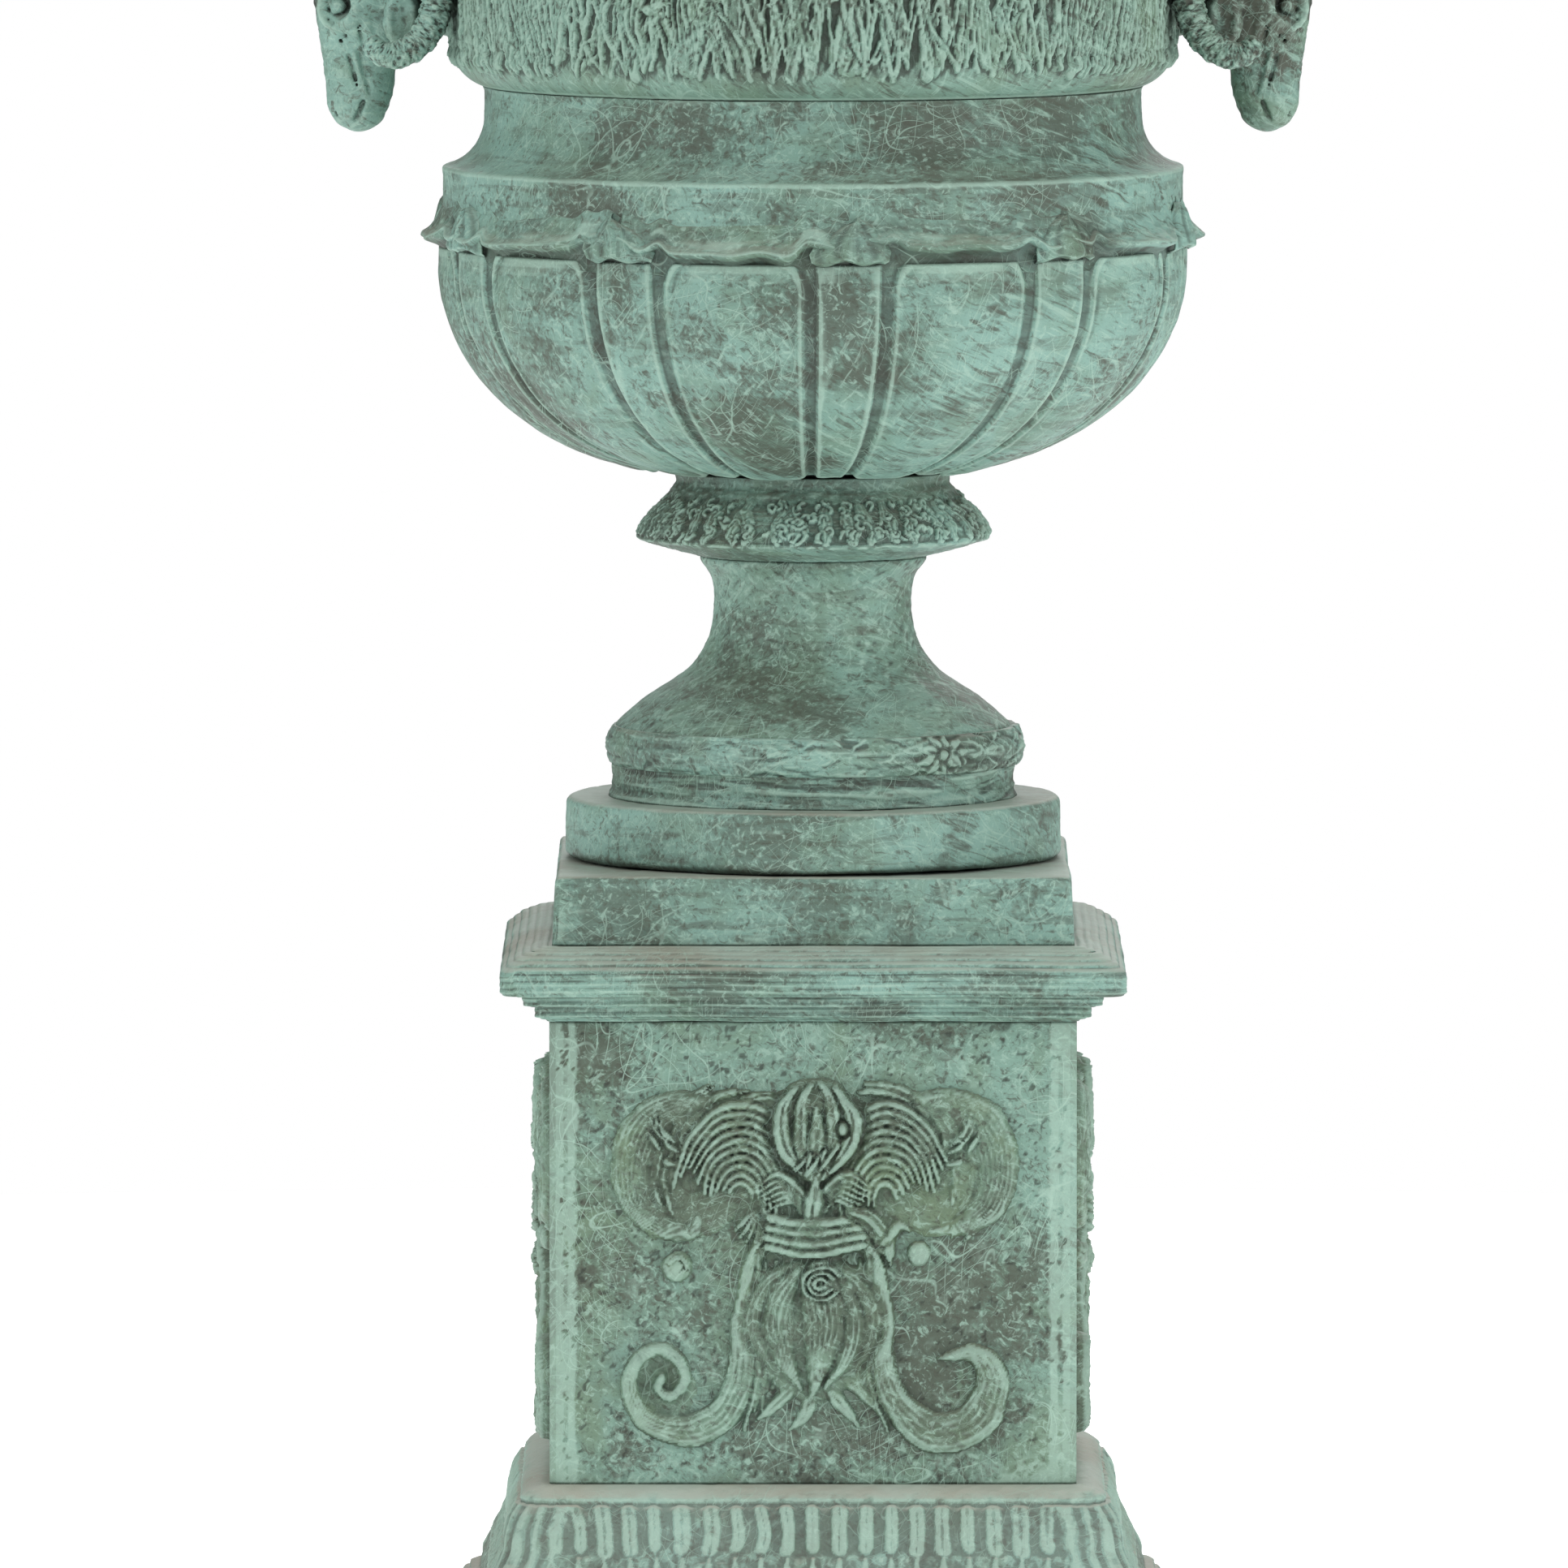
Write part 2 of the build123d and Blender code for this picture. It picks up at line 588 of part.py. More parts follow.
# Knop collar: the hollow leaf skirt between stem and bowl ---------------------------------------
COLLAR_EDGE = STEM_TOP + 12.0
COLLAR_SEAT_R = 60.0
with BuildPart() as knop_collar:
    with BuildSketch(Plane.XZ):
        with BuildLine():
            Polyline(
                (ROD_HOLE_R, STEM_TOP),
                (STEM_TOP_R + 2.0, STEM_TOP),
                (COLLAR_R, COLLAR_EDGE),
                (COLLAR_R, COLLAR_EDGE + 3.0),
            )
            ThreePointArc((COLLAR_R, COLLAR_EDGE + 3.0), (112, 789), (COLLAR_NECK_R, COLLAR_TOP - WALL))
            Polyline(
                (COLLAR_NECK_R, COLLAR_TOP - WALL),
                (COLLAR_NECK_R, COLLAR_TOP),
                (COLLAR_SEAT_R, COLLAR_TOP),
                (COLLAR_SEAT_R, COLLAR_TOP - WALL),
                (84, COLLAR_TOP - WALL),
                (97, COLLAR_EDGE + WALL),
                (STEM_TOP_R, STEM_TOP + WALL),
                (ROD_HOLE_R, STEM_TOP + WALL),
                (ROD_HOLE_R, STEM_TOP),
            )
        make_face()
    revolve(axis=Axis.Z)
    with Locations(*[(x, y, STEM_TOP + WALL) for x, y in drain_points]):
        Hole(DRAIN_HOLE_R, depth=WALL)
knop_collar.part.label = "knop_collar"
pieces.append(knop_collar.part)

# Lower bowl: a flat floor and a quarter ellipse up to the widest radius -------------------------
BOWL_DEPTH = BOWL_WIDEST - COLLAR_TOP
BOWL_FLOOR = 10.0
bowl_bolt_points = polar_points(BOWL_BOLT_R, FLANGE_BOLTS, start=22.5)
with BuildPart() as bowl_shell:
    with BuildSketch(Plane.XZ):
        with BuildLine():
            EllipticalCenterArc(
                (BOWL_FLOOR_R, BOWL_WIDEST), BOWL_R - BOWL_FLOOR_R, BOWL_DEPTH, 270, arc_size=90
            )
            Polyline(
                (BOWL_R, BOWL_WIDEST),
                (BOWL_R, BOWL_SHOULDER),
                (BOWL_NECK_R, BOWL_SHOULDER),
                (BOWL_NECK_R, BOWL_TOP),
                (BOWL_FLANGE_R, BOWL_TOP),
                (BOWL_FLANGE_R, BOWL_TOP - WALL),
                (BOWL_NECK_R - WALL, BOWL_TOP - WALL),
                (BOWL_NECK_R - WALL, BOWL_WIDEST),
            )
            EllipticalCenterArc(
                (BOWL_FLOOR_R, BOWL_WIDEST),
                BOWL_NECK_R - WALL - BOWL_FLOOR_R,
                BOWL_DEPTH - BOWL_FLOOR,
                270,
                arc_size=90,
            )
            Polyline(
                (BOWL_FLOOR_R, COLLAR_TOP + BOWL_FLOOR),
                (ROD_HOLE_R, COLLAR_TOP + BOWL_FLOOR),
                (ROD_HOLE_R, COLLAR_TOP),
                (BOWL_FLOOR_R, COLLAR_TOP),
            )
        make_face()
    revolve(axis=Axis.Z)
    with Locations(*[(x, y, COLLAR_TOP + BOWL_FLOOR) for x, y in drain_points]):
        Hole(DRAIN_HOLE_R, depth=BOWL_FLOOR)
    with Locations(*[(x, y, BOWL_TOP) for x, y in bowl_bolt_points]):
        Hole(M8 + HOLE_CLEARANCE, depth=WALL)
bowl_shell.part.label = "bowl_shell"
pieces.append(bowl_shell.part)

# Ring of curled leaf tips, slipped over the bowl's neck and resting on its shoulder -------------
LEAF_RING_BORE = BOWL_NECK_R + GAP
LEAF_RING_FOOT = BOWL_R + GAP
with BuildPart() as leaf_tip_ring:
    with BuildSketch(Plane.XZ):
        with BuildLine():
            Polyline(
                (LEAF_RING_BORE, BOWL_TOP),
                (LEAF_RING_BORE, BOWL_SHOULDER),
                (LEAF_RING_FOOT, BOWL_SHOULDER),
                (LEAF_RING_FOOT, BOWL_SHOULDER - WALL),
            )
            ThreePointArc((LEAF_RING_FOOT, BOWL_SHOULDER - WALL), (LEAF_TIP_R, 970), (259, BOWL_TOP))
            Line((259, BOWL_TOP), (LEAF_RING_BORE, BOWL_TOP))
        make_face()
    revolve(axis=Axis.Z)
leaf_tip_ring.part.label = "leaf_tip_ring"
pieces.append(leaf_tip_ring.part)

# Waist: a plain fascia, a hollow moulding and a straight waist ----------------------------------
waist_bolt_points = polar_points(WAIST_BOLT_R, FLANGE_BOLTS, start=22.5)
with BuildPart() as waist_band:
    with BuildSketch(Plane.XZ):
        with BuildLine():
            Line((BOWL_R, BOWL_TOP), (BOWL_R, FASCIA_TOP))
            ThreePointArc((BOWL_R, FASCIA_TOP), (230.5, 1031.5), (WAIST_R, WAIST_BOTTOM))
            Polyline(
                (WAIST_R, WAIST_BOTTOM),
                (WAIST_R, WAIST_TOP),
                (WAIST_FLANGE_R, WAIST_TOP),
                (WAIST_FLANGE_R, WAIST_TOP - WALL),
                (WAIST_R - WALL, WAIST_TOP - WALL),
                (WAIST_R - WALL, WAIST_BOTTOM),
                (220, 1034),
                (BOWL_R - WALL, FASCIA_TOP - WALL),
                (BOWL_R - WALL, BOWL_TOP + WALL),
                (BOWL_FLANGE_R, BOWL_TOP + WALL),
                (BOWL_FLANGE_R, BOWL_TOP),
                (BOWL_R, BOWL_TOP),
            )
        make_face()
    revolve(axis=Axis.Z)
    with Locations(*[(x, y, BOWL_TOP + WALL) for x, y in bowl_bolt_points]):
        Hole(M8 + HOLE_CLEARANCE, depth=WALL)
    with Locations(*[(x, y, WAIST_TOP) for x, y in waist_bolt_points]):
        Hole(M8 + HOLE_CLEARANCE, depth=WALL)
waist_band.part.label = "waist_band"
pieces.append(waist_band.part)

# Drum: a rounded underside and an upright wall, drilled for the ram heads' studs ----------------
neck_bolt_points = polar_points(NECK_BOLT_R, FLANGE_BOLTS, start=22.5)
with BuildPart() as frieze_drum:
    with BuildSketch(Plane.XZ):
        with BuildLine():
            ThreePointArc((WAIST_R, WAIST_TOP), (237.5, 1082.5), (DRUM_R, DRUM_BOTTOM))
            Polyline(
                (DRUM_R, DRUM_BOTTOM),
                (DRUM_R, DRUM_TOP),
                (DRUM_FLANGE_R, DRUM_TOP),
                (DRUM_FLANGE_R, DRUM_TOP - WALL),
                (DRUM_R - WALL, DRUM_TOP - WALL),
                (DRUM_R - WALL, DRUM_BOTTOM + 2.0),
                (WAIST_R + WALL, WAIST_TOP + WALL),
                (WAIST_FLANGE_R, WAIST_TOP + WALL),
                (WAIST_FLANGE_R, WAIST_TOP),
                (WAIST_R, WAIST_TOP),
            )
        make_face()
    revolve(axis=Axis.Z)
    with Locations(*[(x, y, WAIST_TOP + WALL) for x, y in waist_bolt_points]):
        Hole(M8 + HOLE_CLEARANCE, depth=WALL)
    with Locations(*[(x, y, DRUM_TOP) for x, y in neck_bolt_points]):
        Hole(M8 + HOLE_CLEARANCE, depth=WALL)
    with BuildSketch(Plane.YZ):
        with Locations(*[(0, z) for z in HEAD_STUD_HEIGHTS]):
            Circle(HEAD_STUD_R + HOLE_CLEARANCE)
    extrude(amount=DRUM_R + WALL, both=True, mode=Mode.SUBTRACT)
frieze_drum.part.label = "frieze_drum"
pieces.append(frieze_drum.part)

# Neck: a bead over a hollow curve that flares up to the rim -------------------------------------
rim_bolt_points = polar_points(RIM_BOLT_R, FLANGE_BOLTS, start=22.5)
with BuildPart() as neck_shell:
    with BuildSketch(Plane.XZ):
        with BuildLine():
            Line((DRUM_FLANGE_R, DRUM_TOP), (DRUM_R, DRUM_TOP))
            ThreePointArc((DRUM_R, DRUM_TOP), (252, 1268), (DRUM_R, NECK_BEAD_TOP - 1.0))
            Line((DRUM_R, NECK_BEAD_TOP - 1.0), (NECK_R, NECK_BEAD_TOP))
            ThreePointArc((NECK_R, NECK_BEAD_TOP), (243, 1326), (NECK_TOP_R, NECK_TOP))
            Polyline(
                (NECK_TOP_R, NECK_TOP),
                (MOUTH_R, NECK_TOP),
                (MOUTH_R, NECK_TOP - WALL),
                (NECK_TOP_R - 1.5 * WALL, NECK_TOP - WALL),
            )
            ThreePointArc(
                (NECK_TOP_R - 1.5 * WALL, NECK_TOP - WALL), (235, 1326), (NECK_R - WALL, NECK_BEAD_TOP)
            )
            Polyline(
                (NECK_R - WALL, NECK_BEAD_TOP),
                (NECK_R - WALL, DRUM_TOP + WALL),
                (DRUM_FLANGE_R, DRUM_TOP + WALL),
                (DRUM_FLANGE_R, DRUM_TOP),
            )
        make_face()
    revolve(axis=Axis.Z)
    with Locations(*[(x, y, DRUM_TOP + WALL) for x, y in neck_bolt_points]):
        Hole(M8 + HOLE_CLEARANCE, depth=WALL)
    with Locations(*[(x, y, NECK_TOP) for x, y in rim_bolt_points]):
        Hole(M8 + HOLE_CLEARANCE, depth=WALL)
neck_shell.part.label = "neck_shell"
pieces.append(neck_shell.part)

# Rim: a heavy rounded lip, bolted from below ----------------------------------------------------
RIM_EDGE = 4.0
RIM_BOLT_DEPTH = 10.0
with BuildPart() as rim_lip:
    with BuildSketch(Plane.XZ):
        with BuildLine():
            Line((MOUTH_R, NECK_TOP), (NECK_TOP_R + 2.0, NECK_TOP))
            ThreePointArc((NECK_TOP_R + 2.0, NECK_TOP), (283, 1385), (RIM_R, RIM_TOP - 3 * RIM_EDGE))
            Polyline(
                (RIM_R, RIM_TOP - 3 * RIM_EDGE),
                (RIM_R, RIM_TOP - RIM_EDGE),
                (RIM_R - RIM_EDGE, RIM_TOP),
                (RIM_R - 28.0, RIM_TOP),
                (MOUTH_R, NECK_TOP + WALL),
                (MOUTH_R, NECK_TOP),
            )
        make_face()
    revolve(axis=Axis.Z)
    with BuildSketch(Plane.XY.offset(NECK_TOP)):
        with Locations(*rim_bolt_points):
            Circle(M8 + NUT_FIT)
    extrude(amount=RIM_BOLT_DEPTH, mode=Mode.SUBTRACT)
rim_lip.part.label = "rim_lip"
pieces.append(rim_lip.part)

# Bolts and nuts between the urn's castings ------------------------------------------------------
BOLT_STACK = 2 * WALL + BOLT_TIP_RATIO * M8
upright_bolts("waist_bolts", bowl_bolt_points, M8, BOWL_TOP - WALL, BOWL_TOP - WALL + BOLT_STACK)
upright_nuts("waist_nuts", bowl_bolt_points, M8, [(BOWL_TOP + WALL, 1)])
upright_bolts("drum_bolts", waist_bolt_points, M8, WAIST_TOP - WALL, WAIST_TOP - WALL + BOLT_STACK)
upright_nuts("drum_nuts", waist_bolt_points, M8, [(WAIST_TOP + WALL, 1)])
upright_bolts("neck_bolts", neck_bolt_points, M8, DRUM_TOP - WALL, DRUM_TOP - WALL + BOLT_STACK)
upright_nuts("neck_nuts", neck_bolt_points, M8, [(DRUM_TOP + WALL, 1)])
upright_bolts("rim_bolts", rim_bolt_points, M8, NECK_TOP - WALL, NECK_TOP + RIM_BOLT_DEPTH - 1.0)

# One central rod clamps disc, foot, stem, collar and bowl ---------------------------------------
URN_ROD_TIP = 24.0
axis_point = [(0, 0)]
low_seat = DISC_TOP - DISC_PLATE
high_seat = COLLAR_TOP + BOWL_FLOOR
upright_rods("urn_tie_rod", axis_point, TIE_ROD_R, low_seat - URN_ROD_TIP, high_seat + URN_ROD_TIP)
upright_washers("urn_tie_washers", axis_point, TIE_ROD_R, [(low_seat, -1), (high_seat, 1)])
upright_nuts("urn_tie_nuts", axis_point, TIE_ROD_R, [(low_seat - WASHER, -1), (high_seat + WASHER, 1)])

# Ram heads and horns ----------------------------------------------------------------------------
HEAD_SEAT_R = DRUM_R + 0.02
HEAD_STUD_TIP = DRUM_R - 34.0
HORN_BOSS_END = HORN_OFFSET - HORN_TUBE_R
HORN_ROOT = HORN_CENTRE[1] + HORN_LOOP_R
for side, sign in RAMS.items():
    with BuildPart() as head:
        for height, offset, half_out, half_across in HEAD_SECTIONS:
            with BuildSketch(Plane.XY.offset(height)):
                with Locations((sign * offset, 0)):
                    Ellipse(half_out, half_across)
        loft()
        with BuildSketch(Plane.YZ.offset(sign * (DRUM_R - WALL))):
            with Locations((0, HEAD_NECK[0])):
                Ellipse(HEAD_NECK[1], HEAD_NECK[2])
        extrude(amount=sign * (HORN_CENTRE[0] - DRUM_R + WALL))
        with BuildSketch(Plane.XZ):
            with Locations((sign * HORN_CENTRE[0], HORN_ROOT)):
                Circle(HORN_BOSS_R)
        extrude(amount=HORN_BOSS_END, both=True)
        with BuildSketch(Plane.XY.offset(WAIST_TOP)):
            Circle(HEAD_SEAT_R)
        extrude(amount=DRUM_TOP - WAIST_TOP, mode=Mode.SUBTRACT)
        with BuildSketch(Plane.YZ.offset(sign * HEAD_STUD_TIP)):
            with Locations(*[(0, z) for z in HEAD_STUD_HEIGHTS]):
                Circle(HEAD_STUD_R)
        extrude(amount=sign * (HORN_CENTRE[0] - HEAD_STUD_TIP))
    head.part.label = f"{side}_ram_head"
    pieces.append(head.part)

    for place, depth in {"front": -HORN_OFFSET, "back": HORN_OFFSET}.items():
        loop_plane = Plane(
            origin=(sign * HORN_CENTRE[0], depth, HORN_CENTRE[1]), x_dir=(-sign, 0, 0), z_dir=(0, sign, 0)
        )
        with BuildPart() as horn:
            with BuildLine(loop_plane) as loop:
                CenterArc((0, 0), HORN_LOOP_R, 90, -HORN_SWEEP)
            with BuildSketch(loop.line ^ 0):
                Circle(HORN_TUBE_R)
            sweep()
            with BuildSketch(Plane.XZ.offset(-depth)):
                with Locations((sign * HORN_CENTRE[0], HORN_ROOT)):
                    Circle(HORN_BOSS_R)
            extrude(amount=HORN_TUBE_R if depth > 0 else -HORN_TUBE_R)
        horn.part.label = f"{side}_ram_{place}_horn"
        pieces.append(horn.part)

# Washers and nuts on the ram heads' studs, inside the drum --------------------------------------
STUD_SEAT = DRUM_R - WALL - 0.5
for name, radius, thick, out in (
    ("ram_washers", WASHER_RATIO * HEAD_STUD_R, WASHER, STUD_SEAT),
    ("ram_nuts", HEX_RATIO * HEAD_STUD_R, NUT_RATIO * HEAD_STUD_R, STUD_SEAT - WASHER),
):
    with BuildPart() as ring:
        for sign in RAMS.values():
            with BuildSketch(Plane.YZ.offset(sign * out)):
                with Locations(*[(0, z) for z in HEAD_STUD_HEIGHTS]):
                    if name == "ram_nuts":
                        RegularPolygon(radius, 6)
                    else:
                        Circle(radius)
                    Circle(HEAD_STUD_R + NUT_FIT, mode=Mode.SUBTRACT)
            extrude(amount=-sign * thick)
    ring.part.label = name
    pieces.append(ring.part)

os.makedirs("parts", exist_ok=True)
for piece in pieces:
    export_step(piece, f"parts/{piece.label}.step")
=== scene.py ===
import json
from math import cos, pi, radians, sin, tau

import bpy
import numpy as np
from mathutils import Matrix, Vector


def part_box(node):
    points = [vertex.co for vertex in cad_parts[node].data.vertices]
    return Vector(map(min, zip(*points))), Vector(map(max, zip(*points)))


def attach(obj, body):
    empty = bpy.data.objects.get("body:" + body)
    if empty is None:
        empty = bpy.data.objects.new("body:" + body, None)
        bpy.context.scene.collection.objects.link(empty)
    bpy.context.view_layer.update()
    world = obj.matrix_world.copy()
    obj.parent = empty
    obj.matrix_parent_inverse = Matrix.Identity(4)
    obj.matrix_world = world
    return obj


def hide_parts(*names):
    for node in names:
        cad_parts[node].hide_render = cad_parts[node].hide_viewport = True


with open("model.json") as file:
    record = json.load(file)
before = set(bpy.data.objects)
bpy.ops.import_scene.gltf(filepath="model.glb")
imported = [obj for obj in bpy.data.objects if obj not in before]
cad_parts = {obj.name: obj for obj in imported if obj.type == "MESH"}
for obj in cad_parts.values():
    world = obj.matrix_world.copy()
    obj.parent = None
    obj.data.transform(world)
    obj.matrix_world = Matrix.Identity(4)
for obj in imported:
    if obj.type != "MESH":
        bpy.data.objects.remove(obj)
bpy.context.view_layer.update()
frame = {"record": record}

# A verdigris bronze urn with ram heads on a square pedestal. Metres, in the CAD frame.
MM = 0.001


# Places taken from the CAD nodes ------------------------------------------------------------------
def low(node):
    """Height of a node's underside."""
    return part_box(node)[0][2]


def top(node):
    """Height of a node's top."""
    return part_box(node)[1][2]


def reach(node):
    """A round node's radius, or a square node's half width."""
    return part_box(node)[1][0]


# Small mathematics on arrays ----------------------------------------------------------------------
def smoothstep(a, b, x):
    t = np.clip((x - a) / (b - a), 0.0, 1.0)
    return t * t * (3.0 - 2.0 * t)


def lattice_noise(x, y, seed, columns=0):
    """Smooth noise from -1 to 1 on arrays x and y; it repeats after this many columns of x."""
    size = 256
    period = columns or size
    table = np.random.default_rng(seed).uniform(-1.0, 1.0, (period, size))
    xi = np.floor(x).astype(int)
    yi = np.floor(y).astype(int)
    fx = x - xi
    fy = y - yi
    fx = fx * fx * (3 - 2 * fx)
    fy = fy * fy * (3 - 2 * fy)
    x0 = xi % period
    x1 = (xi + 1) % period
    y0 = yi % size
    y1 = (yi + 1) % size
    low_row = table[x0, y0] * (1 - fx) + table[x1, y0] * fx
    high_row = table[x0, y1] * (1 - fx) + table[x1, y1] * fx
    return low_row * (1 - fy) + high_row * fy


def fractal(x, y, seed, columns=0, octaves=4, gain=0.5):
    """Several octaves of lattice noise."""
    total = np.zeros(np.broadcast(x, y).shape)
    share = 1.0
    for i in range(octaves):
        period = columns * 2**i if columns else 0
        total += share * lattice_noise(x * 2**i, y * 2**i, seed + i, period)
        share *= gain
    return total


def resample(points, step):
    """The same line with evenly spaced points."""
    points = np.asarray(points, float)
    gaps = np.hypot(*np.diff(points, axis=0).T)
    along = np.concatenate([[0.0], np.cumsum(gaps)])
    count = max(3, int(round(along[-1] / step)) + 1)
    at = np.linspace(0.0, along[-1], count)
    return np.column_stack([np.interp(at, along, points[:, i]) for i in range(points.shape[1])])


def soften(points, step, radius):
    """A line resampled, with its corners rounded to about this radius and its ends kept."""
    line = resample(points, step)
    sigma = max(radius / step, 1e-6)
    extent = int(3 * sigma) + 1
    kernel = np.exp(-0.5 * (np.arange(-extent, extent + 1) / sigma) ** 2)
    kernel /= kernel.sum()
    first = 2 * line[0] - line[extent:0:-1]
    last = 2 * line[-1] - line[-2 : -extent - 2 : -1]
    padded = np.vstack([first, line, last])
    return np.column_stack([np.convolve(padded[:, i], kernel, "valid") for i in range(2)])


def arc(start, middle, end, count=14):
    """Points of the circle's arc through three points."""
    (ax, ay), (bx, by), (cx, cy) = start, middle, end
    d = 2 * (ax * (by - cy) + bx * (cy - ay) + cx * (ay - by))
    ux = ((ax**2 + ay**2) * (by - cy) + (bx**2 + by**2) * (cy - ay) + (cx**2 + cy**2) * (ay - by)) / d
    uy = ((ax**2 + ay**2) * (cx - bx) + (bx**2 + by**2) * (ax - cx) + (cx**2 + cy**2) * (bx - ax)) / d
    a0, a1, a2 = (np.arctan2(y - uy, x - ux) for x, y in (start, middle, end))
    if (a1 - a0) % tau > (a2 - a0) % tau:
        a2 = a0 - (a0 - a2) % tau
    else:
        a2 = a0 + (a2 - a0) % tau
    angles = np.linspace(a0, a2, count)
    r = np.hypot(ax - ux, ay - uy)
    return [(ux + r * cos(a), uy + r * sin(a)) for a in angles]


def spline(points, count=12):
    """A smooth line through points, this many steps to a span."""
    p = np.asarray(points, float)
    p = np.vstack([2 * p[0] - p[1], p, 2 * p[-1] - p[-2]])
    t = np.linspace(0, 1, count, endpoint=False)[:, None]
    spans = []
    for a, b, c, d in zip(p, p[1:], p[2:], p[3:]):
        spans.append(
            0.5 * (2 * b + (c - a) * t + (2 * a - 5 * b + 4 * c - d) * t**2 + (3 * b - a - 3 * c + d) * t**3)
        )
    return np.vstack(spans + [p[-2:-1]])


# Meshes from grids --------------------------------------------------------------------------------
def mesh_object(name, vertices, quads, tone=None):
    """A smooth-shaded mesh object; tone is a number for each vertex, from -1 hollow to 1 raised, for painted
    shade and highlight.
    """
    mesh = bpy.data.meshes.new(name)
    vertices = np.ascontiguousarray(vertices, np.float32)
    quads = np.ascontiguousarray(quads, np.int32)
    mesh.vertices.add(len(vertices))
    mesh.vertices.foreach_set("co", vertices.ravel())
    mesh.loops.add(quads.size)
    mesh.loops.foreach_set("vertex_index", quads.ravel())
    mesh.polygons.add(len(quads))
    mesh.polygons.foreach_set("loop_start", np.arange(0, quads.size, 4, dtype=np.int32))
    mesh.polygons.foreach_set("loop_total", np.full(len(quads), 4, np.int32))
    mesh.polygons.foreach_set("use_smooth", np.ones(len(quads), bool))
    if tone is not None:
        layer = mesh.attributes.new("tone", "FLOAT", "POINT")
        layer.data.foreach_set("value", np.ascontiguousarray(tone, np.float32))
    mesh.update(calc_edges=True)
    mesh.validate()
    obj = bpy.data.objects.new(name, mesh)
    bpy.context.collection.objects.link(obj)
    return obj


def grid_quads(rows, columns, wrap_rows=False, wrap_columns=False):
    """Corner numbers of a grid's faces, row after row."""
    i = np.arange(rows if wrap_rows else rows - 1)
    j = np.arange(columns if wrap_columns else columns - 1)
    i, j = np.meshgrid(i, j, indexing="ij")
    i2 = (i + 1) % rows
    j2 = (j + 1) % columns
    corners = [i * columns + j, i * columns + j2, i2 * columns + j2, i2 * columns + j]
    return np.stack([c.ravel() for c in corners], axis=1)


def hollows(height, spread):
    """How far each cell of a height grid stands above its surroundings, over spread."""
    total = np.zeros_like(height)
    for k in (1, 2, 4, 8):
        for axis in (0, 1):
            total += height - 0.5 * (np.roll(height, k, axis) + np.roll(height, -k, axis))
    return np.clip(total / spread, -1.0, 1.0)


def normals_of(line):
    """Outward normals of a profile that runs upward with its outside to the right."""
    slope = np.gradient(line, axis=0)
    slope /= np.maximum(np.hypot(slope[:, 0], slope[:, 1]), 1e-9)[:, None]
    return slope[:, 1:2], -slope[:, 0:1]


def round_shell(name, radius, height, tone):
    """A closed shell from arrays of radius and height, rows along its section and columns round."""
    rows, columns = radius.shape
    angles = np.linspace(-pi, pi, columns, endpoint=False)
    points = np.stack([radius * np.sin(angles), -radius * np.cos(angles), height], axis=-1)
    quads = grid_quads(rows, columns, wrap_rows=True, wrap_columns=True)
    return mesh_object(name, points.reshape(-1, 3), quads, tone.ravel())


def turned(name, outer, inner, columns, relief=None, spread=4 * MM):
    """A turned shell: its outer line from the bottom up and its inner line from the top down, both as
    (radius, height). relief gives the outward shift at arrays of angle and of place along the outer
    line, or is an array of it."""
    outer = np.asarray(outer)
    n = len(outer)
    line = np.vstack([outer, np.asarray(inner)])
    radius = np.repeat(line[:, :1], columns, axis=1)
    height = np.repeat(line[:, 1:], columns, axis=1)
    tone = np.zeros(radius.shape)
    if relief is not None:
        if callable(relief):
            angles = np.linspace(-pi, pi, columns, endpoint=False)
            relief = relief(angles[None, :], outer[:, :1], outer[:, 1:])
        shift = np.broadcast_to(relief, (n, columns))
        out, up = normals_of(outer)
        radius[:n] += shift * out
        height[:n] = np.clip(height[:n] + shift * up, line[:, 1].min(), line[:, 1].max())
        tone[:n] = hollows(shift, spread)
    return round_shell(name, radius, height, tone)


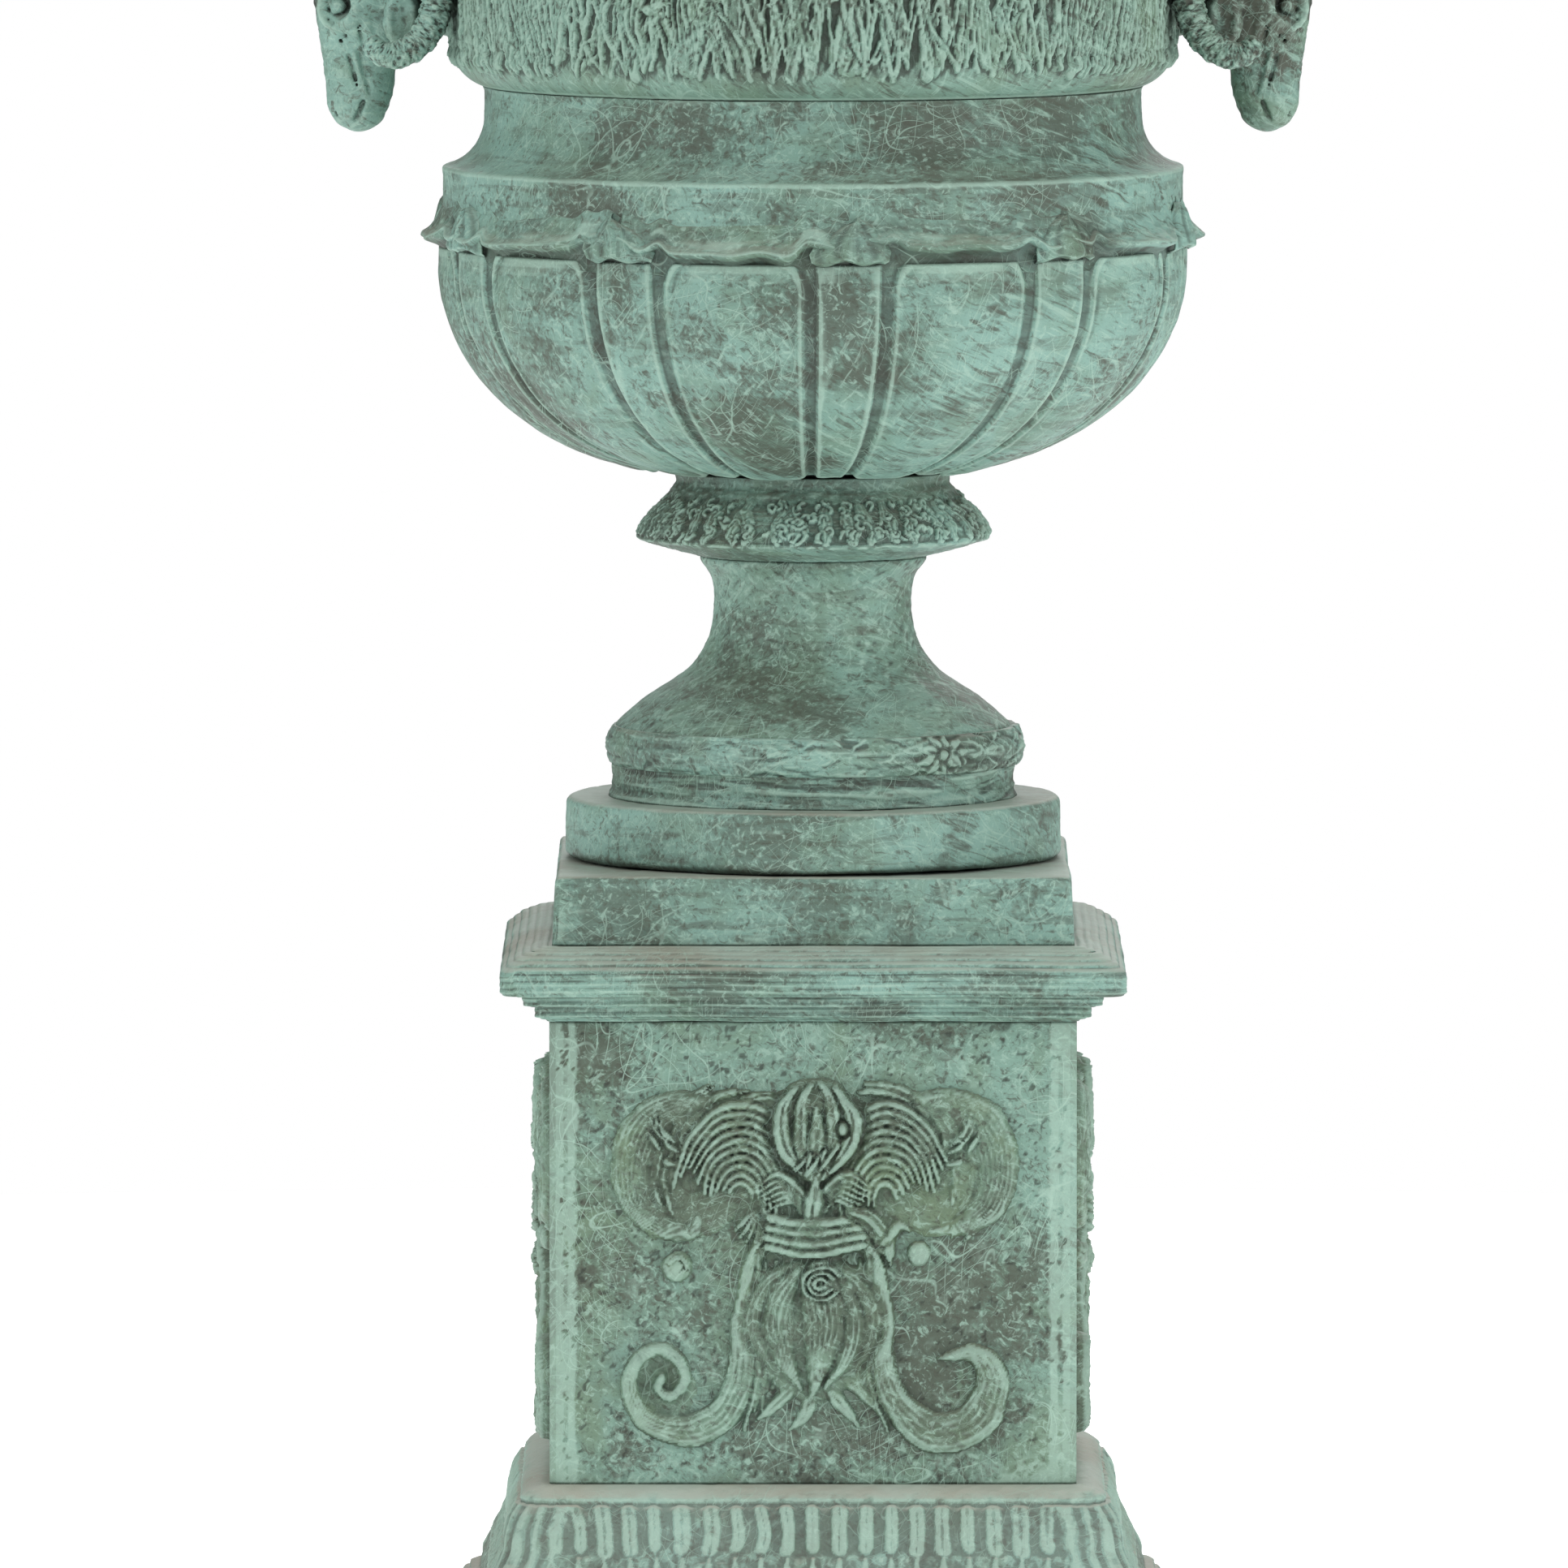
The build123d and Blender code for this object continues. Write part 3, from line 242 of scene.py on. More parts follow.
def square_ring(name, outer, inner, corner, step, relief=None, spread=3 * MM):
    """A square moulding: outer line from the bottom up and inner line from the top down, both as
    (half width, height). corner gives the rounding of the corners at a half width and height; an
    inner point with a third value of 1 lies on a circle. relief gives the outward shift at arrays of
    place along a side, side number, half width, height, and turn round the corner from 0 to 1."""
    outer = np.asarray(outer)
    n = len(outer)
    line = np.array([tuple(p) + (0.0,) * (3 - len(p)) for p in [*map(tuple, outer), *inner]])
    flat = int(2 * line[:, 0].max() / step)
    bend = 16
    side, across, turn = [], [], []
    for k in range(4):
        side += [k] * (flat + bend)
        across += list(-1 + 2 * (np.arange(flat) + 0.5) / flat) + [1.0] * bend
        turn += [0.0] * flat + list((np.arange(bend) + 0.5) / bend)
    side, across, turn = np.array(side), np.array(across), np.array(turn)
    half = line[:, 0][:, None]
    rounding = np.array([min(corner(h, z), h) for h, z, _ in line])[:, None]
    swing = turn * pi / 2
    bent = turn > 0
    along = across * (half - rounding) + np.where(bent, rounding * np.sin(swing), 0.0)
    out = np.where(bent, half - rounding + rounding * np.cos(swing), half)
    height = np.repeat(line[:, 1:2], len(side), axis=1)
    tone = np.zeros(along.shape)
    if relief is not None:
        shift = relief(along[:n], side[None, :], half[:n], height[:n], turn[None, :])
        shift = np.broadcast_to(shift, (n, len(side)))
        outward, up = normals_of(outer)
        along[:n] += shift * outward * np.where(bent, np.sin(swing), 0.0)
        out[:n] += shift * outward * np.where(bent, np.cos(swing), 1.0)
        height[:n] = np.clip(height[:n] + shift * up, line[:, 1].min(), line[:, 1].max())
        tone[:n] = hollows(shift, spread)
    circle = line[:, 2][:, None]
    extent = np.hypot(along, out)
    along = np.where(circle > 0, along / extent * half, along)
    out = np.where(circle > 0, out / extent * half, out)
    way = side * pi / 2
    x = along * np.cos(way) + out * np.sin(way)
    y = along * np.sin(way) - out * np.cos(way)
    points = np.stack([x, y, height], axis=-1)
    quads = grid_quads(len(line), len(side), wrap_rows=True, wrap_columns=True)
    return mesh_object(name, points.reshape(-1, 3), quads, tone.ravel())


def tube(path, radii, around, relief=None):
    """Vertices, faces and tone of a round bar along a smooth path, its ends closed."""
    path = np.asarray(path, float)
    n = len(path)
    radii = np.interp(np.linspace(0, 1, n), np.linspace(0, 1, len(radii)), radii)
    ahead = np.gradient(path, axis=0)
    ahead /= np.linalg.norm(ahead, axis=1)[:, None]
    side = np.cross(ahead[0], (0.3, 0.9, 0.2))
    sides = []
    for a in ahead:
        side = side - a * side.dot(a)
        side /= np.linalg.norm(side)
        sides.append(side)
    sides = np.array(sides)
    others = np.cross(ahead, sides)
    swing = np.linspace(0, tau, around, endpoint=False)
    along = np.concatenate([[0], np.cumsum(np.linalg.norm(np.diff(path, axis=0), axis=1))])
    shift = np.zeros((n, around)) if relief is None else relief(along[:, None], swing[None, :])
    r = radii[:, None] + shift * (radii / radii.max())[:, None]
    points = (
        path[:, None]
        + r[..., None] * (np.cos(swing)[:, None] * sides[:, None] + np.sin(swing)[:, None] * others[:, None])
    )
    quads = grid_quads(n, around, wrap_columns=True)
    i = np.arange(around // 2 - 1)
    cap = np.stack([i, i + 1, around - 2 - i, around - 1 - i], axis=1)
    quads = np.vstack([quads, cap[:, ::-1], cap + (n - 1) * around])
    return points.reshape(-1, 3), quads[:, ::-1], hollows(shift, 5 * MM).ravel()


def joined(name, parts):
    """One object from several sets of vertices, faces and tone."""
    offset = 0
    vertices, quads, tones = [], [], []
    for v, q, t in parts:
        vertices.append(v)
        quads.append(q + offset)
        tones.append(t)
        offset += len(v)
    return mesh_object(name, np.vstack(vertices), np.vstack(quads), np.concatenate(tones))


# Carving on a flat height grid --------------------------------------------------------------------
class Carving:
    """A grid of heights h over v (rows) and u (columns), drawn on in strokes that lap each other."""

    def __init__(self, u, v, around=0.0, cut=0.5):
        self.u, self.v = u, v
        self.h = np.zeros((len(v), len(u)))
        self.around = around
        self.cut = cut  # how much of the height beside a stroke its outline leaves

    def warp(self, shift_u, shift_v):
        """Moves the whole carving about by these shifts, so that drawn lines become uneven."""
        rows, columns = self.h.shape
        i = np.arange(rows)[:, None] + shift_v / (self.v[1] - self.v[0])
        j = np.arange(columns)[None, :] + shift_u / (self.u[1] - self.u[0])
        i = np.clip(i, 0, rows - 1.001)
        j = j % columns if self.around else np.clip(j, 0, columns - 1.001)
        i0, j0 = i.astype(int), j.astype(int)
        fi, fj = i - i0, j - j0
        i1, j1 = np.minimum(i0 + 1, rows - 1), (j0 + 1) % columns
        low_row = self.h[i0, j0] * (1 - fj) + self.h[i0, j1] * fj
        high_row = self.h[i1, j0] * (1 - fj) + self.h[i1, j1] * fj
        self.h = low_row * (1 - fi) + high_row * fi

    def blur(self, times):
        for _ in range(times):
            for axis in (0, 1):
                self.h = 0.25 * np.roll(self.h, 1, axis) + 0.5 * self.h + 0.25 * np.roll(self.h, -1, axis)

    def window(self, low_corner, high_corner):
        i0, i1 = np.searchsorted(self.v, (low_corner[1], high_corner[1]))
        j0, j1 = np.searchsorted(self.u, (low_corner[0], high_corner[0]))
        return slice(i0, i1), slice(j0, j1)

    def stroke(self, points, width, rise, strands=0, depth=0.3, rib=0.0, floor=0.25, gap=0.5, crown=0.5):
        """A raised band along a smooth line. width and rise are values spread evenly along it; strands
        is the number of cords that the band is made of, rib the depth of a groove down its middle, and
        floor the height of its edge as a share of rise."""
        line = resample(spline(points), 2.2 * MM)
        shares = np.linspace(0, 1, len(line))
        widths = np.interp(shares, np.linspace(0, 1, len(width)), width)
        if np.ndim(rise):
            rises = np.interp(shares, np.linspace(0, 1, len(rise)), rise)
        else:
            rises = np.full(len(line), rise)
        margin = (1 + gap) * max(width) + 1 * MM
        shifts = (0.0, self.around, -self.around) if self.around else (0.0,)
        for move in shifts:
            moved = line + (move, 0.0)
            rows, columns = self.window(moved.min(axis=0) - margin, moved.max(axis=0) + margin)
            u, v = np.meshgrid(self.u[columns], self.v[rows])
            if u.size == 0:
                continue
            a, d = moved[:-1], np.diff(moved, axis=0)
            du = u[..., None] - a[:, 0]
            dv = v[..., None] - a[:, 1]
            t = np.clip((du * d[:, 0] + dv * d[:, 1]) / (d**2).sum(axis=1), 0, 1)
            w = widths[:-1] * (1 - t) + widths[1:] * t
            eu, ev = du - t * d[:, 0], dv - t * d[:, 1]
            near = np.hypot(eu, ev) / np.maximum(w, 1e-5)
            k = near.argmin(axis=-1)[..., None]

            def pick(values):
                return np.take_along_axis(values, k, axis=-1)[..., 0]

            near = pick(near)
            side = near * np.sign(pick(d[:, 0] * dv - d[:, 1] * du))
            crest = pick(rises[:-1] * (1 - t) + rises[1:] * t)
            body = crest * (floor + (1 - floor) * np.clip(1 - near**2, 0, 1) ** crown)
            if strands:
                body *= 1 - depth * (0.5 + 0.5 * np.cos(side * strands * pi + pi * (strands + 1)))
            if rib:
                body *= 1 - rib * np.exp(-((side / 0.14) ** 2))
            here = self.h[rows, columns]
            fade = np.clip((near - 1) / max(gap, 1e-6), 0, 1)
            here *= np.where(near < 1, 1.0, self.cut + (1 - self.cut) * fade)
            here[:] = np.where(near < 1, np.maximum(body, 0.35 * here), here)

    def dome(self, centre, size, rise, turn=0.0, gap=0.25, crown=0.5):
        """A raised oval, with a groove round it."""
        extent = max(size) * (1 + gap)
        rows, columns = self.window(np.subtract(centre, extent), np.add(centre, extent))
        u, v = np.meshgrid(self.u[columns] - centre[0], self.v[rows] - centre[1])
        p = (u * cos(turn) + v * sin(turn)) / size[0]
        q = (-u * sin(turn) + v * cos(turn)) / size[1]
        near = np.hypot(p, q)
        here = self.h[rows, columns]
        here *= np.where(near < 1, 1.0, 0.3 + 0.7 * np.clip((near - 1) / gap, 0, 1))
        here[:] = np.where(near < 1, rise * (0.3 + 0.7 * np.clip(1 - near**2, 0, 1) ** crown), here)


# Solids from fields -------------------------------------------------------------------------------
def surface_net(field, origin, step):
    """Vertices and quads of the surface where a 3-D grid of values goes from negative to positive."""
    inside = field < 0
    size = np.array(field.shape) - 1
    corners = [(a, b, c) for a in (0, 1) for b in (0, 1) for c in (0, 1)]

    def at(grid, corner):
        return grid[tuple(slice(k, k + s) for k, s in zip(corner, size))]

    total = np.zeros((*size, 3))
    count = np.zeros(size)
    for first in corners:
        for axis in range(3):
            if first[axis]:
                continue
            second = tuple(c + (k == axis) for k, c in enumerate(first))
            f, g = at(field, first), at(field, second)
            cross = at(inside, first) != at(inside, second)
            share = np.where(cross, f / np.where(cross, f - g, 1.0), 0.0)
            for k in range(3):
                total[..., k] += cross * (first[k] + (share if k == axis else 0.0))
            count += cross
    used = count > 0
    number = np.full(size, -1)
    number[used] = np.arange(used.sum())
    cell = np.argwhere(used)
    points = origin + step * (cell + total[used] / count[used][:, None])
    quads = []
    for axis in range(3):
        b, c = (axis + 1) % 3, (axis + 2) % 3
        here = [slice(1, s) for s in size]
        here[axis] = slice(0, size[axis])
        ahead = list(here)
        ahead[axis] = slice(1, size[axis] + 1)
        first, second = inside[tuple(here)], inside[tuple(ahead)]
        for crossing, order in ((first & ~second, 1), (~first & second, -1)):
            spot = np.argwhere(crossing)
            spot += [0 if k == axis else 1 for k in range(3)]
            around = []
            for db, dc in ((0, 0), (-1, 0), (-1, -1), (0, -1)):
                neighbour = spot.copy()
                neighbour[:, b] += db
                neighbour[:, c] += dc
                around.append(number[tuple(neighbour.T)])
            quads.append(np.stack(around[::order], axis=1))
    return points, np.vstack(quads)


def blend_in(a, b, k):
    """The union of two fields with a rounded join of size k."""
    h = np.clip(0.5 + 0.5 * (b - a) / k, 0, 1)
    return b * (1 - h) + a * h - k * h * (1 - h)


def cut_out(a, b, k):
    """Field a without field b, with a rounded edge of size k."""
    return -blend_in(-a, b, k)


class Clay:
    """A solid built up from blended lumps on a grid, in millimetres; mirrored lumps use the distance
    from the middle plane for their second coordinate."""

    def __init__(self, low_corner, high_corner, step):
        self.origin = np.array(low_corner, float)
        self.step = step
        axes = [np.arange(a, b, step) for a, b in zip(low_corner, high_corner)]
        self.grid = np.stack(np.meshgrid(*axes, indexing="ij"), axis=-1)
        self.mirrored = self.grid.copy()
        self.mirrored[..., 1] = np.abs(self.mirrored[..., 1])
        self.field = np.full(self.grid.shape[:3], 50.0)

    def ball(self, centre, radii, k=6.0, carve=False, pair=True):
        where = self.mirrored if pair else self.grid
        radii = np.array(radii, float)
        near = np.sqrt((((where - centre) / radii) ** 2).sum(axis=-1))
        self.merge((near - 1) * radii.min(), k, carve)

    def limb(self, start, end, r0, r1, k=6.0, carve=False, squash=(1, 1, 1)):
        squash = np.array(squash, float)
        a, b = np.array(start) / squash, np.array(end) / squash
        where = self.mirrored / squash
        d = b - a
        t = np.clip(((where - a) * d).sum(axis=-1) / d.dot(d), 0, 1)
        near = np.sqrt(((where - a - t[..., None] * d) ** 2).sum(axis=-1))
        self.merge((near - (r0 + (r1 - r0) * t)) * squash.min(), k, carve)

    def ring(self, centre, across, thick, k=2.0, carve=False):
        """A ring that lies flat against the side of the face."""
        d = self.mirrored - centre
        near = np.hypot(np.hypot(d[..., 0], d[..., 2]) - across, d[..., 1])
        self.merge(near - thick, k, carve)

    def merge(self, other, k, carve):
        self.field = cut_out(self.field, other, k) if carve else blend_in(self.field, other, k)


# Materials ----------------------------------------------------------------------------------------
def linear(red, green, blue):
    """A colour from its 0 to 255 display values."""
    def channel(c):
        c /= 255
        return c / 12.92 if c <= 0.04045 else ((c + 0.055) / 1.055) ** 2.4

    return (channel(red), channel(green), channel(blue), 1.0)


class Nodes:
    """Short calls for building a node material."""

    def __init__(self, name):
        self.material = bpy.data.materials.new(name)
        self.material.use_nodes = True
        self.tree = self.material.node_tree
        self.shader = self.tree.nodes["Principled BSDF"]
        self.place = self.add("ShaderNodeTexCoord").outputs["Object"]

    def add(self, kind, **settings):
        node = self.tree.nodes.new(kind)
        for key, value in settings.items():
            setattr(node, key, value)
        return node

    def link(self, source, target):
        self.tree.links.new(source, target)

    def put(self, value, socket):
        """Links a socket or sets a plain value."""
        if isinstance(value, bpy.types.NodeSocket):
            self.link(value, socket)
        else:
            socket.default_value = value

    def stretch(self, scale, turn=(0, 0, 0)):
        """The place turned first and then scaled along each axis."""
        node = self.add("ShaderNodeMapping", vector_type="TEXTURE")
        node.inputs["Scale"].default_value = [1 / k for k in scale]
        node.inputs["Rotation"].default_value = turn
        self.link(self.place, node.inputs["Vector"])
        return node.outputs[0]

    def noise(self, scale, detail=4.0, rough=0.55, warp=0.0, vector=None):
        node = self.add("ShaderNodeTexNoise")
        node.inputs["Scale"].default_value = scale
        node.inputs["Detail"].default_value = detail
        node.inputs["Roughness"].default_value = rough
        node.inputs["Distortion"].default_value = warp
        self.link(vector or self.place, node.inputs["Vector"])
        return node.outputs["Fac"]

    def sum(self, operation, a, b=0.0, c=None):
        node = self.add("ShaderNodeMath", operation=operation)
        self.put(a, node.inputs[0])
        self.put(b, node.inputs[1])
        if c is not None:
            self.put(c, node.inputs[2])
        return node.outputs[0]

    def ramp(self, value, start, end):
        """0 at start, 1 at end, smooth between."""
        node = self.add("ShaderNodeMapRange", interpolation_type="SMOOTHSTEP")
        self.put(value, node.inputs["Value"])
        node.inputs["From Min"].default_value = start
        node.inputs["From Max"].default_value = end
        return node.outputs["Result"]

    def mix(self, share, a, b, blend="MIX"):
        node = self.add("ShaderNodeMix", data_type="RGBA", blend_type=blend)
        self.put(share, node.inputs["Factor"])
        self.put(a, node.inputs["A"])
        self.put(b, node.inputs["B"])
        return node.outputs["Result"]

    def hairs(self, scale, bands, thin, stretch, turn):
        """Long fine bent hairlines, drawn along the level lines of a smooth noise."""
        field = self.noise(scale, 1.5, 0.4, 0.0, self.stretch(stretch, turn))
        phase = self.sum("FRACT", self.sum("MULTIPLY", field, bands))
        return self.ramp(self.sum("ABSOLUTE", self.sum("SUBTRACT", phase, 0.5)), thin, 0.2 * thin)


MINT = linear(133, 172, 160)
GREEN = linear(97, 126, 112)
MOSS = linear(106, 128, 101)
BROWN = linear(72, 76, 64)
DARK = linear(36, 41, 33)
PALE = linear(172, 182, 170)
BEIGE = linear(164, 162, 148)
PALE_SCRATCH_AND_HIGHLIGHT = linear(168, 200, 184)


def verdigris(name, brown=0.5, moss=0.35, pale=0.2, streak=0.4, hair=0.55, seed=0.0, painted_shade=1.0, light=0.0,
              olive=0.0):
    """Weathered bronze: mint and green patina over brown, painted shade in hollows, painted highlights on
    raised parts, painted top light on upward faces, hairline scratches and brushed streaks. The numbers say
    how much of each."""
    n = Nodes(name)
    shift = n.add("ShaderNodeVectorMath", operation="ADD")
    n.link(n.place, shift.inputs[0])
    shift.inputs[1].default_value = (seed, 1.7 * seed, -0.6 * seed)
    n.place = shift.outputs[0]

    tone = n.add("ShaderNodeAttribute", attribute_name="tone").outputs["Fac"]
    broad = n.noise(6.0, 4.0, 0.55, 0.4)
    blotch = n.noise(17.0, 6.0, 0.6, 0.6)
    grain = n.noise(210.0, 4.0, 0.6)
    speck = n.noise(620.0, 2.0, 0.5)
    streaks = n.noise(30.0, 5.0, 0.62, 0.4, n.stretch((0.5, 0.5, 3.6)))
    brushed = n.noise(210.0, 3.0, 0.62, 0.9, n.stretch((0.13, 1.0, 1.0), (0.0, 0.35, 0.8)))
    crossed = n.noise(230.0, 3.0, 0.62, 0.9, n.stretch((0.13, 1.0, 1.0), (0.0, -0.75, -0.8)))

    colour = n.mix(n.ramp(broad, 0.36, 0.64), GREEN, MINT)
    if olive:
        colour = n.mix(olive, colour, MOSS)
    colour = n.mix(n.sum("MULTIPLY", n.ramp(blotch, 0.46, 0.68), moss), colour, MOSS)
    patches = n.sum("ADD", n.sum("MULTIPLY", broad, 0.5), n.sum("MULTIPLY", blotch, 0.5))
    patches = n.sum("ADD", patches, n.sum("MULTIPLY", n.sum("SUBTRACT", brushed, 0.5), 0.30))
    patches = n.sum("ADD", patches, n.sum("MULTIPLY", n.sum("SUBTRACT", grain, 0.5), 0.22))
    colour = n.mix(n.sum("MULTIPLY", n.ramp(patches, 0.53, 0.42), brown), colour, BROWN)
    colour = n.mix(n.sum("MULTIPLY", n.ramp(streaks, 0.52, 0.36), streak), colour, BROWN)
    colour = n.mix(n.sum("MULTIPLY", n.ramp(streaks, 0.56, 0.74), 0.5 * streak), colour, MINT)
    strokes = n.sum("MAXIMUM", n.ramp(brushed, 0.55, 0.68), n.ramp(crossed, 0.57, 0.70))
    colour = n.mix(n.sum("MULTIPLY", strokes, 0.50), colour, PALE_SCRATCH_AND_HIGHLIGHT)
    colour = n.mix(n.sum("MULTIPLY", n.ramp(brushed, 0.46, 0.32), 0.60), colour, BROWN)
    colour = n.mix(n.sum("MULTIPLY", n.ramp(speck, 0.60, 0.72), 0.30), colour, DARK)

    # Painted highlight on raised parts and painted shade in hollows and crevices, from the tone and from
    # ambient occlusion
    ambient = n.add("ShaderNodeAmbientOcclusion", samples=6)
    ambient.inputs["Distance"].default_value = 0.022
    close = n.sum("MULTIPLY", n.ramp(ambient.outputs["AO"], 0.75, 0.20), 0.80 * painted_shade)
    # painted highlight on raised parts
    colour = n.mix(n.sum("MULTIPLY", n.ramp(tone, 0.12, 0.75), 0.55), colour, PALE_SCRATCH_AND_HIGHLIGHT)
    # painted shade in hollows, from the tone
    colour = n.mix(n.sum("MULTIPLY", n.ramp(tone, -0.12, -0.80), 0.70 * painted_shade), colour, DARK)
    colour = n.mix(close, colour, DARK)

    # Painted top light: faces that point up are painted pale beige
    normal = n.add("ShaderNodeNewGeometry").outputs["Normal"]
    split = n.add("ShaderNodeSeparateXYZ")
    n.link(normal, split.inputs[0])
    facing = n.sum("ADD", split.outputs["Z"], n.sum("MULTIPLY", n.sum("SUBTRACT", blotch, 0.5), 0.4))
    painted_top_light = n.sum("MULTIPLY", n.ramp(facing, 0.50, 0.90), pale)
    colour = n.mix(painted_top_light, colour, n.mix(n.ramp(broad, 0.4, 0.6), BEIGE, PALE))
    if light:
        colour = n.mix(light, colour, PALE)

    lines = n.sum("MAXIMUM", n.hairs(5.5, 44.0, 0.030, (1, 1, 0.5), (0.4, 0.3, 0.3)),
                  n.hairs(7.0, 40.0, 0.030, (0.5, 1, 1), (0.9, 1.1, 2.0)))
    lines = n.sum("MAXIMUM", lines, n.hairs(10.0, 32.0, 0.036, (1, 0.5, 1.0), (2.2, 0.7, 1.0)))
    lines = n.sum("MAXIMUM", lines, n.hairs(6.0, 48.0, 0.030, (0.5, 0.5, 1), (1.2, 2.4, 0.6)))
    where = n.ramp(n.noise(21.0, 4.0), 0.44, 0.58)
    lines = n.sum("MULTIPLY", lines, n.sum("MULTIPLY", where, hair))
    colour = n.mix(n.sum("MULTIPLY", lines, 0.7), colour, PALE_SCRATCH_AND_HIGHLIGHT)
    n.link(colour, n.shader.inputs["Base Color"])

    rough = n.sum("MULTIPLY_ADD", grain, 0.35, 0.40)
    n.link(rough, n.shader.inputs["Roughness"])
    n.shader.inputs["Specular IOR Level"].default_value = 0.5

    bump_height = n.sum("ADD", n.sum("MULTIPLY", grain, 0.5), n.sum("MULTIPLY", brushed, 0.5))
    bump_height = n.sum("ADD", bump_height, n.sum("MULTIPLY", crossed, 0.4))
    bump_height = n.sum("ADD", bump_height, n.sum("MULTIPLY", speck, 0.2))
    bump_height = n.sum("ADD", bump_height, n.sum("MULTIPLY", lines, 0.3))
    bump = n.add("ShaderNodeBump")
    bump.inputs["Strength"].default_value = 0.6
    bump.inputs["Distance"].default_value = 0.0010
    n.link(bump_height, bump.inputs["Height"])
    n.link(bump.outputs[0], n.shader.inputs["Normal"])
    return n.material


def dress(obj, material):
    obj.data.materials.clear()
    obj.data.materials.append(material)


def place_piece(obj, material, body, slot, *nodes):
    """Gives a piece its material and its body and hides the CAD nodes that it stands for; slot is not used.
    """
    dress(obj, material)
    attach(obj, body)
    if nodes:
        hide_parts(*nodes)
    return obj


urn_bronze = verdigris("urn_bronze", brown=0.72, pale=0.12, hair=0.75)
stem_bronze = verdigris("stem_bronze", brown=0.66, pale=0.10, hair=0.9, seed=3.1, olive=0.15)
square_bronze = verdigris("square_bronze", brown=0.5, pale=0.75, streak=0.55, seed=5.7)
panel_bronze = verdigris("panel_bronze", brown=0.75, moss=0.6, hair=0.85, streak=0.15, seed=1.3, olive=0.25)
relief_bronze = verdigris("relief_bronze", brown=0.45, moss=1.0, pale=0.2, streak=0.1, painted_shade=0.6, seed=2.2,
                          olive=0.6)
leaf_bronze = verdigris("leaf_bronze", brown=0.45, moss=0.5, pale=0.3, painted_shade=0.9, seed=4.4)
frieze_bronze = verdigris("frieze_bronze", brown=0.45, moss=0.5, pale=0.3, streak=0.1, painted_shade=1.1, seed=7.3,
                          olive=0.3)
ram_bronze = verdigris("ram_bronze", brown=0.95, moss=0.5, pale=0.25, streak=0.2, painted_shade=1.25, seed=8.8)
base_bronze = verdigris("base_bronze", brown=0.5, moss=0.4, pale=1.0, streak=0.1, painted_shade=0.8, light=0.18,
                        seed=6.5)

# Camera -------------------------------------------------------------------------------------------
VIEW_DISTANCE = 16.0
VIEW_PITCH = radians(4.5)
VIEW_AIM = Vector((-0.0195, 0.0, 0.601))
camera_data = bpy.data.cameras.new("camera")
camera_data.lens = 542.0
camera_data.clip_end = 60.0
camera = bpy.data.objects.new("camera", camera_data)
bpy.context.collection.objects.link(camera)
camera.location = VIEW_AIM + VIEW_DISTANCE * Vector((0, -cos(VIEW_PITCH), sin(VIEW_PITCH)))
camera.rotation_euler = (pi / 2 - VIEW_PITCH, 0, 0)
bpy.context.scene.camera = camera


# Turned parts of the urn --------------------------------------------------------------------------
def make_disc():
    r, z0, z1 = reach("round_plinth"), top("cap_plinth"), top("round_plinth")
    outer = soften(
        [(r - 8 * MM, z0 + 1 * MM), (r - 3 * MM, z0 + 1 * MM), (r, z0 + 4 * MM), (r - 1 * MM, z1 - 3 * MM),
         (r - 4 * MM, z1), (0.130, z1)],
        1.3 * MM, 1.3 * MM,
    )
    spigot_r, bottom = 60 * MM, low("round_plinth")
    inner = [(9 * MM, z1), (9 * MM, z1 - 10 * MM), (52 * MM, z1 - 10 * MM), (52 * MM, bottom),
             (spigot_r, bottom),
             (spigot_r, z1 - 10 * MM), (r - 8 * MM, z1 - 10 * MM)]

    def wavy(angle, radius, height):
        broad = 0.8 * MM * fractal((angle / tau + 0.5) * 9, height * 12, 21, 9, 3)
        return broad + 0.25 * MM * fractal((angle / tau + 0.5) * 90, height * 160, 22, 90, 3)

    disc = turned("disc_visual", outer, inner, 560, wavy)
    place_piece(disc, square_bronze, "urn", "verdigris_urn", "round_plinth")


def make_foot_band():
    r, z0, z1 = reach("foot_band") - 2 * MM, low("foot_band"), top("foot_band")
    outer = soften([(r + 2 * MM, z0), (r + 2 * MM, z0 + 2 * MM), (r, z0 + 5 * MM), (r, z1)], 1.2 * MM,
                   1.2 * MM)

    def folds(angle, radius, height):
        bend = height * 210 + 1.6 * lattice_noise((angle / tau + 0.5) * 8, height * 0 + 3.0, 31, 8)
        share = 0.35 + 0.65 * smoothstep(-0.3, 0.4,
                                         lattice_noise((angle / tau + 0.5) * 5, height * 20, 32, 5))
        return 1.3 * MM * share * fractal((angle / tau + 0.5) * 12, bend, 33, 12, 4)

    band = turned("foot_band_visual", outer, [(0.128, z1), (0.128, z0)], 640, folds)
    place_piece(band, urn_bronze, "urn", "verdigris_urn", "foot_band")


